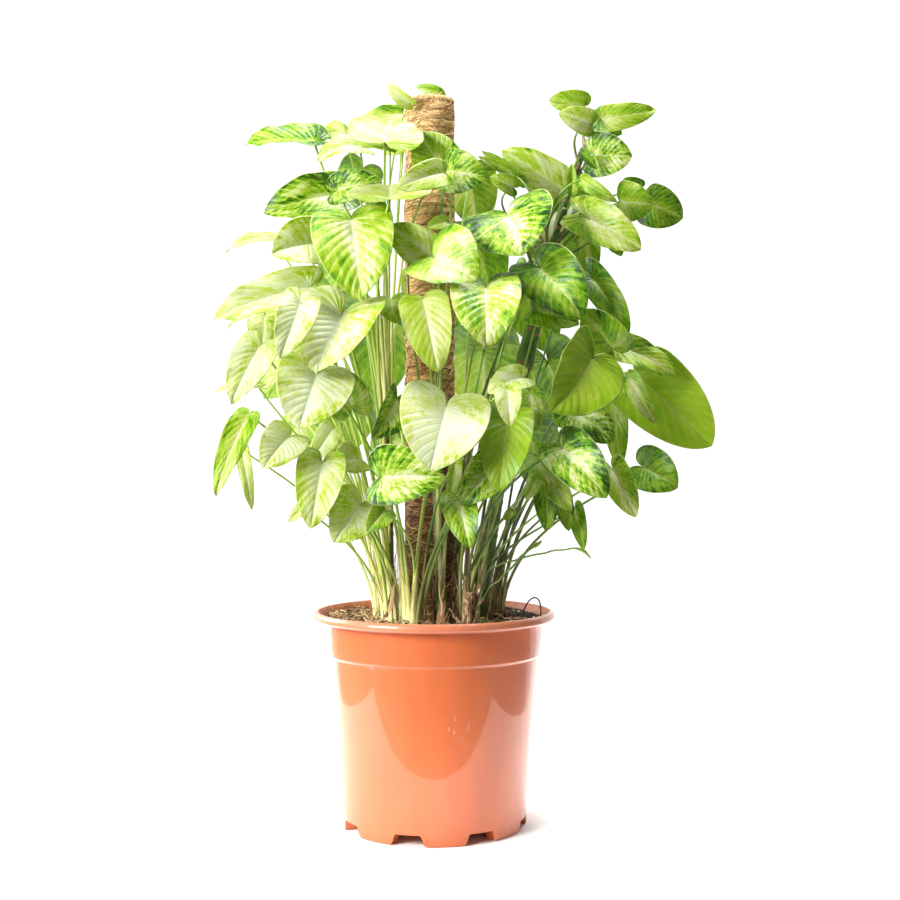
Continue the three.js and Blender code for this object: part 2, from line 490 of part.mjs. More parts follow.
class Leaf {
  constructor([label, x, z, tipX, tipZ, width, depth, tipDeeper, turn, fold, bow, lobe, stem]) {
    Object.assign(this, { label, x, z, tipX, tipZ, width, tipDeeper, turn, fold, bow, lobe, stem });
    this.setDepth(depth);
  }

  // Sets the blade's frame: base, length, and the unit vectors along, across and out of its face.
  setDepth(depth) {
    this.depth = depth;
    this.base = sight(this.x, this.z, depth);
    this.along = sight(this.tipX, this.tipZ, depth + this.tipDeeper).sub(this.base);
    this.length = this.along.length();
    this.along.divideScalar(this.length);
    const view = new THREE.Vector3(EYE_X, -EYE_BACK, EYE_UP).sub(this.base).normalize();
    const front = view.addScaledVector(this.along, -view.dot(this.along)).normalize();
    const beside = front.clone().cross(this.along);
    const turn = THREE.MathUtils.degToRad(this.turn);
    this.face = front.multiplyScalar(Math.cos(turn)).addScaledVector(beside, Math.sin(turn));
    this.across = this.face.clone().cross(this.along);
    this.half = (this.width / 2) * ((depth + EYE_BACK) / (DRAWN_Y + EYE_BACK));
    this.rise = Math.tan(THREE.MathUtils.degToRad(this.fold));
  }

  // The point of the blade's middle surface at outline share s, on side (+1 or -1), a share v of
  // the way from the midrib to the margin.
  at(s, v, side) {
    const [edge, wide] = outline(s, this.lobe);
    const root = veinRoot(s);
    const u = root + v * (edge - root);
    const q = v * wide;
    const lift = this.bow * this.length * 4 * u * (1 - u) + this.rise * q * this.half;
    return this.base.clone()
      .addScaledVector(this.along, u * this.length)
      .addScaledVector(this.across, side * q * this.half)
      .addScaledVector(this.face, lift);
  }

  // The point of the midrib at this distance from the petiole.
  onMidrib(distance) {
    const u = distance / this.length;
    return this.base.clone().addScaledVector(this.along, distance)
      .addScaledVector(this.face, this.bow * this.length * 4 * u * (1 - u));
  }

  // 0 for a small blade, 1 for a middling one and 2 for a large one.
  grade() {
    const area = this.length * this.width;
    return (area > MIDDLING_BLADE) + (area > LARGE_BLADE);
  }

  // Points spread over the blade: rows from the lobes to the tip, each with 2 * across + 1 points.
  samples(rows, across) {
    const points = [];
    for (let i = 0; i < rows; i += 1) {
      const s = 0.06 + (0.94 * i) / (rows - 1);
      for (let k = -across; k <= across; k += 1) {
        points.push(this.at(s, Math.abs(k) / across, Math.sign(k)));
      }
    }
    return points;
  }

  // The blade as a thin solid: both faces are the same triangles, half a thickness to either side.
  blade() {
    const lobeSteps = 2 + this.grade();
    const tipSteps = 3 + this.grade();
    const shares = [];
    for (let i = 1; i <= lobeSteps; i += 1) {
      shares.push((LOBE_SHARE * i) / lobeSteps);
    }
    for (let i = 1; i < tipSteps; i += 1) {
      shares.push(LOBE_SHARE + ((1 - LOBE_SHARE) * i) / tipSteps);
    }
    const points = [this.at(0, 0, 1), this.at(1, 0, 1)];
    const ribs = shares.map((s) => {
      if (veinRoot(s) === 0) {
        return 0;
      }
      points.push(this.at(s, 0, 1));
      return points.length - 1;
    });
    ribs.push(1);
    const faces = [];
    const rim = [];
    for (const side of [1, -1]) {
      const edges = shares.map((s) => points.push(this.at(s, 1, side)) - 1);
      edges.push(1);
      const add = (a, b, c) => {
        if (a !== b && b !== c && a !== c) {
          faces.push(side > 0 ? [a, c, b] : [a, b, c]);
        }
      };
      for (let i = 0; i < edges.length - 1; i += 1) {
        add(ribs[i], edges[i], edges[i + 1]);
        add(ribs[i], edges[i + 1], ribs[i + 1]);
      }
      const loop = [0, ...edges];
      for (let i = 0; i < loop.length - 1; i += 1) {
        rim.push(side > 0 ? [loop[i + 1], loop[i]] : [loop[i], loop[i + 1]]);
      }
    }
    const thickness = BLADE_THICKNESS * Math.hypot(1, this.rise);
    const count = points.length;
    const upper = points.map((p) => p.clone().addScaledVector(this.face, thickness / 2).toArray());
    const lower = points.map((p) => p.clone().addScaledVector(this.face, -thickness / 2).toArray());
    const under = faces.map(([a, b, c]) => [a + count, c + count, b + count]);
    const band = rim.flatMap(([a, b]) => [[a, a + count, b], [b, a + count, b + count]]);
    return solidOf(geometryFrom([...upper, ...lower], [...faces, ...under, ...band]));
  }

  // Where the petiole leaves the crown or cane of its stem.
  root() {
    const { crown, cane, reach } = STEMS[this.stem];
    const low = SOIL_TOP + PETIOLE_ROOT_RISE;
    if (cane.length === 0) {
      const x = crown[0] + CROWN_RING * Math.cos(this.post);
      return new THREE.Vector3(x, crown[1] + CROWN_RING * Math.sin(this.post), low);
    }
    const line = [[...crown, low], ...cane];
    const z = Math.max(low, Math.min(line[line.length - 1][2], this.base.z - reach));
    const i = line.findIndex((point, k) => k > 0 && z <= point[2]);
    const share = (z - line[i - 1][2]) / (line[i][2] - line[i - 1][2]);
    const root = new THREE.Vector3(...line[i - 1]).lerp(new THREE.Vector3(...line[i]), share);
    const out = this.base.clone().sub(root).setZ(0);
    return root.addScaledVector(out, PETIOLE_ROOT_OUT / Math.max(out.length(), 1e-9));
  }

  // The petiole's line: up from its root, then over to the blade from below and behind its face.
  petiole(aside, deeper, count) {
    const root = this.root();
    const span = this.base.clone().sub(root);
    const reach = span.length();
    const out = span.setZ(0);
    const bend = new THREE.Vector3(aside, deeper, 0);
    const first = root.clone().addScaledVector(out, PETIOLE_LEAN).addScaledVector(bend, FIRST_SWING);
    first.z += PETIOLE_RISE * reach;
    const second = this.base.clone().addScaledVector(this.face, -PETIOLE_BEHIND * reach)
      .addScaledVector(out, -PETIOLE_OVER).add(bend);
    second.z -= PETIOLE_DROP * reach;
    return new THREE.CubicBezierCurve3(root, first, second, this.base).getPoints(count - 1);
  }
}

function nearest(points, others) {
  let least = Infinity;
  for (const p of points) {
    for (const q of others) {
      least = Math.min(least, p.distanceToSquared(q));
    }
  }
  return Math.sqrt(least);
}

function boxOf(points, margin) {
  return new THREE.Box3().setFromPoints(points).expandByScalar(margin);
}

// 0, step, -step, 2 step, -2 step and so on.
function bothWays(step, most) {
  const offsets = [0];
  for (let k = step; k <= most; k += step) {
    offsets.push(k, -k);
  }
  return offsets;
}

// Points along each cane, for what has to stay clear of it.
function caneLines() {
  const climbing = Object.entries(STEMS).filter(([, { cane }]) => cane.length > 0);
  return climbing.map(([stem, { crown, cane }]) => {
    const corners = [[...crown, SOIL_TOP], ...cane].map((point) => new THREE.Vector3(...point));
    const line = [];
    for (let i = 1; i < corners.length; i += 1) {
      for (let k = 0; k < 24; k += 1) {
        line.push(corners[i - 1].clone().lerp(corners[i], k / 23));
      }
    }
    return { stem, line };
  });
}

// Stands the petioles of each crown in a ring, in the order of their blades' bearings.
function placeRoots(leaves) {
  for (const [key, { crown, cane }] of Object.entries(STEMS)) {
    const own = cane.length > 0 ? [] : leaves.filter((leaf) => leaf.stem === key);
    for (const leaf of own) {
      leaf.bearing = Math.atan2(leaf.base.y - crown[1], leaf.base.x - crown[0]);
    }
    const total = (pick) => own.reduce((sum, leaf) => sum + pick(leaf.bearing), 0);
    const mean = Math.atan2(total(Math.sin), total(Math.cos));
    for (const leaf of own) {
      leaf.turned = ((leaf.bearing - mean + 3 * Math.PI) % (2 * Math.PI)) - Math.PI;
    }
    own.sort((a, b) => a.turned - b.turned);
    const spacing = THREE.MathUtils.degToRad(Math.min(CROWN_SPACING, CROWN_SPAN / own.length));
    own.forEach((leaf, k) => {
      leaf.post = mean + (k - (own.length - 1) / 2) * spacing;
    });
  }
}

// Moves each blade along its line of sight until it is clear of those before it and of the pole.
function settle(leaves) {
  const placed = [];
  const canes = caneLines();
  for (const leaf of leaves) {
    const wanted = leaf.depth;
    let best = null;
    for (const offset of bothWays(SETTLE_STEP, SETTLE_MOST)) {
      leaf.setDepth(wanted + offset);
      const points = leaf.samples(12, 3);
      if (points.every((p) => Math.abs(p.y) <= DEPTH_LIMIT)) {
        const low = points.filter((p) => p.z < POLE_TOP + 6);
        const poleGap = Math.min(99, ...low.map((p) => Math.hypot(p.x - POLE_X, p.y) - POLE_RADIUS));
        const box = boxOf(points, BLADE_CLEARANCE);
        const near = placed.filter((other) => box.intersectsBox(other.box));
        const caneGaps = canes.filter(({ stem }) => stem !== leaf.stem)
          .map(({ line }) => nearest(points, line) - CANE_MARGIN);
        const gap = Math.min(99, ...near.map((other) => nearest(points, other.points)), ...caneGaps);
        const score = Math.min(gap - BLADE_CLEARANCE, poleGap - POLE_BLADE_GAP);
        if (!best || score > best.score + 1e-6) {
          best = { score, offset };
        }
        if (score >= 0) {
          break;
        }
      }
    }
    leaf.setDepth(wanted + best.offset);
    const points = leaf.samples(12, 3);
    placed.push({ points, box: boxOf(points, 0) });
  }
}

// The ways a petiole may swing aside and deeper, the smallest swings first.
function swings() {
  const ways = [
    ...[[0, 1], [0, -1], [1, 0], [-1, 0]].map((way) => way.map((share) => share * SWING_STRAIGHT)),
    ...[[1, 1], [1, -1], [-1, 1], [-1, -1]].map((way) => way.map((share) => share * SWING_ASLANT)),
  ];
  const list = [[0, 0, 0]];
  for (let k = 1; k <= SWINGS; k += 1) {
    for (const [aside, deeper] of ways) {
      list.push([k, aside * k, deeper * k]);
    }
  }
  return list;
}

// Gives each petiole the smallest swing that keeps it clear of blades, pole and other stems.
function routePetioles(leaves) {
  const placed = caneLines();
  const blades = leaves.map((leaf) => leaf.samples(18, 5));
  leaves.forEach((leaf, own) => {
    let best = null;
    let ring = 0;
    for (const [k, aside, deeper] of swings()) {
      if (k !== ring && best.cost < GOOD_ROUTE) {
        break;
      }
      ring = k;
      const line = leaf.petiole(aside, deeper, 30);
      const body = line.slice(2, 26);
      const box = boxOf(body, PETIOLE_CLEARANCE);
      let cost = SWING_COST * k;
      blades.forEach((points, j) => {
        const near = points.filter((p) => box.containsPoint(p));
        if (near.length > 0) {
          const gap = nearest(body, near);
          cost += j === own ? 0.5 * Math.max(0, OWN_BLADE_GAP - gap) : Math.max(0, PETIOLE_CLEARANCE - gap);
        }
      });
      const poleGap = Math.min(...line.map((p) => Math.hypot(p.x - POLE_X, p.y))) - POLE_RADIUS;
      cost += Math.max(0, POLE_PETIOLE_GAP - poleGap);
      for (const other of placed) {
        const near = other.stem === leaf.stem ? [] : other.line.filter((p) => box.containsPoint(p));
        if (near.length > 0) {
          cost += Math.max(0, STEM_GAP - nearest(body, near));
        }
      }
      if (!best || cost < best.cost - 1e-6) {
        best = { cost, aside, deeper, line };
      }
    }
    leaf.swing = [best.aside, best.deeper];
    placed.push({ stem: leaf.stem, line: best.line });
  });
}

function petioleSolid(leaf) {
  const steps = 3 + Math.min(leaf.grade(), 1);
  const centres = leaf.petiole(...leaf.swing, steps + 1);
  centres[steps] = leaf.onMidrib(PETIOLE_GRIP);
  const radii = centres.map((_, i) => THREE.MathUtils.lerp(
    PETIOLE_ROOT_RADIUS, PETIOLE_TIP_RADIUS, i / steps));
  return tube(centres, radii, PETIOLE_SIDES);
}

function runnerSolid({ radius, points, stem }) {
  const { crown } = STEMS[stem];
  const start = new THREE.Vector3(crown[0], crown[1], SOIL_TOP + PETIOLE_ROOT_RISE - 1);
  const centres = [start, ...points.map(([x, z, y]) => sight(x, z, y))];
  return tube(centres, centres.map(() => radius), PETIOLE_SIDES);
}

// A leafy stem: crown, cane, petioles, blades and runners grown together as one body.
function makeStem(key, leaves) {
  const { crown, cane } = STEMS[key];
  const foot = SOIL_TOP - CROWN_DEPTH;
  const parts = [pillar(crown[0], crown[1], foot, SOIL_TOP + CROWN_RISE, CROWN_RADIUS, CROWN_SIDES)];
  if (cane.length > 0) {
    const line = [[...crown, SOIL_TOP], ...cane].map((point) => new THREE.Vector3(...point));
    const radii = line.map((_, i) => CANE_RADIUS - CANE_TAPER * (i / (line.length - 1)));
    line[line.length - 1].z += CANE_END;
    parts.push(tube(line, radii, CROWN_SIDES));
  }
  for (const leaf of leaves) {
    const blade = leaf.blade();
    if (blade.isEmpty()) {
      throw new Error(`the blade of ${leaf.label} is not a closed solid`);
    }
    parts.push(petioleSolid(leaf), blade);
  }
  for (const runner of RUNNERS.filter((r) => r.stem === key)) {
    parts.push(runnerSolid(runner));
  }
  return outerBody(STEMS[key].name, wasm.Manifold.union(parts));
}

// ---------------------------------------------------------------- assembly

const plant = new THREE.Group();

function addPiece(name, solid, color, roughness) {
  const material = new THREE.MeshStandardMaterial({ color, roughness, metalness: 0 });
  const mesh = new THREE.Mesh(geometryOf(solid), material);
  mesh.name = name;
  plant.add(mesh);
}

const leaves = LEAVES.map((row) => new Leaf(row));
settle(leaves);
placeRoots(leaves);
routePetioles(leaves);

const stumpFoot = new THREE.Vector3(...STUMP.foot);
const stumpTop = new THREE.Vector3(...STUMP.top);
const stumpHole = tube([stumpFoot.clone().setZ(stumpFoot.z - GAP), stumpTop],
  [STUMP.radius + 2 * GAP, STUMP.radius + 2 * GAP], STUMP.sides);
const crownHoles = Object.values(STEMS).map(({ crown: [x, y] }) => pillar(
  x, y, SOIL_TOP - CROWN_DEPTH - GAP, SOIL_TOP + 20, CROWN_RADIUS + 2 * GAP, CROWN_SIDES));
const poleHole = pillar(
  POLE_X, 0, POLE_FOOT - GAP, SOIL_TOP + 20, POLE_RADIUS + POLE_LOOSE, POLE_SIDES);
const coreFoot = FOOT_HEIGHT + FLOOR_THICKNESS + GAP;
const coreTop = POLE_TOP - CAP_THICKNESS - GAP;
const coreHole = pillar(POLE_X, 0, coreFoot - 2, POLE_FOOT + 2, CORE_RADIUS + GAP, CORE_SIDES);

addPiece('pot', makePot(), 0xe07a45, 0.3);
addPiece('soil', makeSoil([poleHole, coreHole, stumpHole, ...crownHoles]), 0x4a3324, 1);
addPiece('pole_core', pillar(POLE_X, 0, coreFoot, coreTop, CORE_RADIUS, CORE_SIDES), 0xb89a6a, 0.8);
addPiece('pole_coir', makeCoir(), 0xb5793f, 1);
addPiece('stump', tube([stumpFoot, stumpTop], [STUMP.radius, 0.9 * STUMP.radius], STUMP.sides), 0x6b4a2b, 1);
for (const [key, { name }] of Object.entries(STEMS)) {
  addPiece(name, makeStem(key, leaves.filter((leaf) => leaf.stem === key)), 0x86b43c, 0.5);
}

plant.updateMatrixWorld(true);
const bounds = new THREE.Box3().setFromObject(plant);
const middle = bounds.getCenter(new THREE.Vector3());
plant.position.set(-middle.x, -middle.y, -bounds.min.z);
plant.updateMatrixWorld(true);

export default plant;
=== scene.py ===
"""Variegated arrowhead plant on a coir pole in a nursery pot: the looks, built round the CAD frame.

Lengths are in millimetres about the pot's axis (x to the right, y away, z up) until a finished
mesh is put in the frame, which is in metres, with its origin on the floor under the middle of
the whole plant.
"""
import math

import bmesh
import bpy
import numpy as np
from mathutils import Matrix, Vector


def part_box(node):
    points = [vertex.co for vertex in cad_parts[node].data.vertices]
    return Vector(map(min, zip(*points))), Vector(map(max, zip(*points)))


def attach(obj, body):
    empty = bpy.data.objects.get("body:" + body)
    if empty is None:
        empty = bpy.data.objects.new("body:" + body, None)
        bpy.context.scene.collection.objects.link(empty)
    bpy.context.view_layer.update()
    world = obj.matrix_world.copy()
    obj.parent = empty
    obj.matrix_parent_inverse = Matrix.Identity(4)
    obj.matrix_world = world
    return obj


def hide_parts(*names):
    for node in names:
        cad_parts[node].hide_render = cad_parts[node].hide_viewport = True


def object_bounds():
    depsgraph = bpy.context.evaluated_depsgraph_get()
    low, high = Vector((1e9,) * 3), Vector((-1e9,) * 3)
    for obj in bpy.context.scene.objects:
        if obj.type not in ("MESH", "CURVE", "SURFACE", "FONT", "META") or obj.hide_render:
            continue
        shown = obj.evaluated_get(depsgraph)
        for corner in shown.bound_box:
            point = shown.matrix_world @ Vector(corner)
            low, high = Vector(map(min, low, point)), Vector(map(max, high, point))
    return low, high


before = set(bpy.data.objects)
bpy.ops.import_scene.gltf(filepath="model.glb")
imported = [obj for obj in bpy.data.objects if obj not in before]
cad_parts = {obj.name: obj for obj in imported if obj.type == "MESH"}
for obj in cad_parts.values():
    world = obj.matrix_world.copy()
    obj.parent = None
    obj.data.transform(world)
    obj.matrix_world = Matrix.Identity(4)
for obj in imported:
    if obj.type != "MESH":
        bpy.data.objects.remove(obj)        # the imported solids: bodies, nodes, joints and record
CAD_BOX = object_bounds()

MM = 0.001
POT_LOW, POT_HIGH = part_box("pot")
AXIS = np.array([(POT_LOW.x + POT_HIGH.x) / 2, (POT_LOW.y + POT_HIGH.y) / 2, 0.0])   # in the frame
LOWEST, HIGHEST = ((np.array(corner) - AXIS) / MM for corner in CAD_BOX)    # about the pot's axis
UP = np.array([0.0, 0.0, 1.0])
STEM_SEED, LITTER_SEED, COIR_SEED = 100, 31, 77      # of the random draws

# Pot
POT_HEIGHT = 211
RIM_RADIUS = 120
FOOT_RADIUS = 91
STEP_HEIGHT = 168.5        # the top of the plain wall, where it steps out to a band
STEP_RADIUS = 104.7
BAND_RADIUS = 107.2
NECK_RADIUS = 109          # under the rim
WALL = 2.1
FOOT_HEIGHT = 11
FOOT_RING = 12             # how thick the foot is from inside to outside
FLOOR_THICKNESS = 2.3
NOTCHES = 8
NOTCH_FIRST = -15          # degrees from the front, towards +x
NOTCH_TOP = 16             # degrees wide at the floor of the pot
NOTCH_FOOT = 21            # and where the pot stands
DRAIN_HOLES = 4
DRAIN_RADIUS = 5
DRAIN_RING = 55            # how far their middles lie from the axis

# Soil and pole
SOIL_TOP = 198
POLE_X = -4
POLE_RADIUS = 25
POLE_TOP = 722
POLE_FOOT = 30
CAP_THICKNESS = 22         # how much coir lies on top of the stake
CORE_BORE = 10.3
THREAD_PITCH = 8.6
THREAD_RADIUS = 0.55

# Leafy stems: the same rules as the solids follow
LOBE_SHARE = 0.45          # the share of a blade's outline that runs round its basal lobe
SHOULDER = (0.12, 1)       # where half a blade is widest: shares of its length and half width
VEIN_CROWDING = 1.3        # how the side veins leave the midrib closer together near the petiole
MIDDLING_BLADE = 1700      # length times width from which a blade counts as middling, and as large
LARGE_BLADE = 5200
CROWN_RADIUS = 13
CROWN_RING = 9             # the petioles stand this far from a crown's middle,
CROWN_SPACING = 28         # this many degrees apart,
CROWN_SPAN = 300           # and not over more than this in all
CANE_RADIUS = 6
CANE_TAPER = 2.5
CANE_END = 5               # how far a cane goes on above its last point
NODE_SPACING = 34          # between the rings of a jointed cane
ROOT_RISE = 9              # petioles start this far above the soil, or out from a cane's middle
ROOT_OUT = 3
# How a petiole bends, as shares of its reach or of how far out it goes: up and out from its root,
# then to its blade from behind it, over it and below it; and the first bend's share of the swing.
PETIOLE_RISE, PETIOLE_LEAN = 0.45, 0.06
PETIOLE_BEHIND, PETIOLE_OVER, PETIOLE_DROP = 0.14, 0.22, 0.08
FIRST_SWING = 0.6
EYE = np.array([16.0, -1400.0, 370.0])      # the place that the leaves are drawn from
DRAWN_Y = 8                # the depth at which their drawn places and widths hold
# How blades are moved apart: by steps, up to a limit, and within a depth; with these gaps kept to
# other blades, canes and pole; judged at these rows of points, up to so far above the pole.
SETTLE_STEP, SETTLE_MOST, DEPTH_LIMIT = 8, 160, 190
BLADE_CLEARANCE, CANE_MARGIN, POLE_BLADE_GAP = 7, 4, 5
SETTLE_GRID, ABOVE_POLE = (12, 3), 6
# How petioles are led clear: rings of swings, straight or aslant, their cost, and the cost that is
# good enough; the gaps kept, and the points judged, but for those at the ends of a petiole.
SWINGS, SWING_STRAIGHT, SWING_ASLANT, SWING_COST, GOOD_ROUTE = 4, 14, 10, 0.02, 0.2
PETIOLE_CLEARANCE, OWN_BLADE_GAP, POLE_PETIOLE_GAP, STEM_GAP = 8, 4, 4, 6.5
OWN_BLADE_COST = 0.5       # what a millimetre too near to its own blade costs, to 1 for others
ROUTE_GRID, ROUTE_POINTS, ROUTE_BODY = (18, 5), 30, slice(2, 26)
CANE_POINTS = 24           # points on each part of a cane, for what has to stay clear of it
FAR = 99                   # stands for a gap that is wide enough
BETTER = 1e-6              # how much better a place has to be to count as better
BLADE_THICKNESS = 0.6
BLADE_TRIM = 0.985         # fine outlines are drawn this much narrower, to keep to the coarse ones
VEINS = 16                 # side veins from the lobe to the tip of one half
VEIN_SWEEP = 0.05          # how far they bend towards the tip, as a share of s

# Each stem: name, crown in the soil (x, y), points of its cane, and how far below its blade a
# petiole leaves the cane.
STEMS = {
    "a": ("front_left", (-40, -34), [], 0),
    "b": ("left", (-50, -2), [], 0),
    "c": ("left_climbing", (-46, 28), [(-46, 20, 430)], 280),
    "d": ("front", (-18, -62), [], 0),
    "e": ("front_climbing", (9, -54), [(2, -46, 350)], 280),
    "f": ("front_right", (34, -40), [], 0),
    "g": ("right_climbing", (44, -4), [(84, -14, 450), (112, -22, 560), (130, -20, 606)], 70),
    "l": ("right_tall", (32, 24), [(92, 14, 440), (124, 0, 600), (150, -8, 668)], 34),
    "h": ("right", (60, 22), [], 0),
    "i": ("back_right", (17, 50), [(30, 60, 360)], 280),
    "j": ("back", (-12, 52), [], 0),
    "k": ("back_left", (-40, 58), [], 0),
}

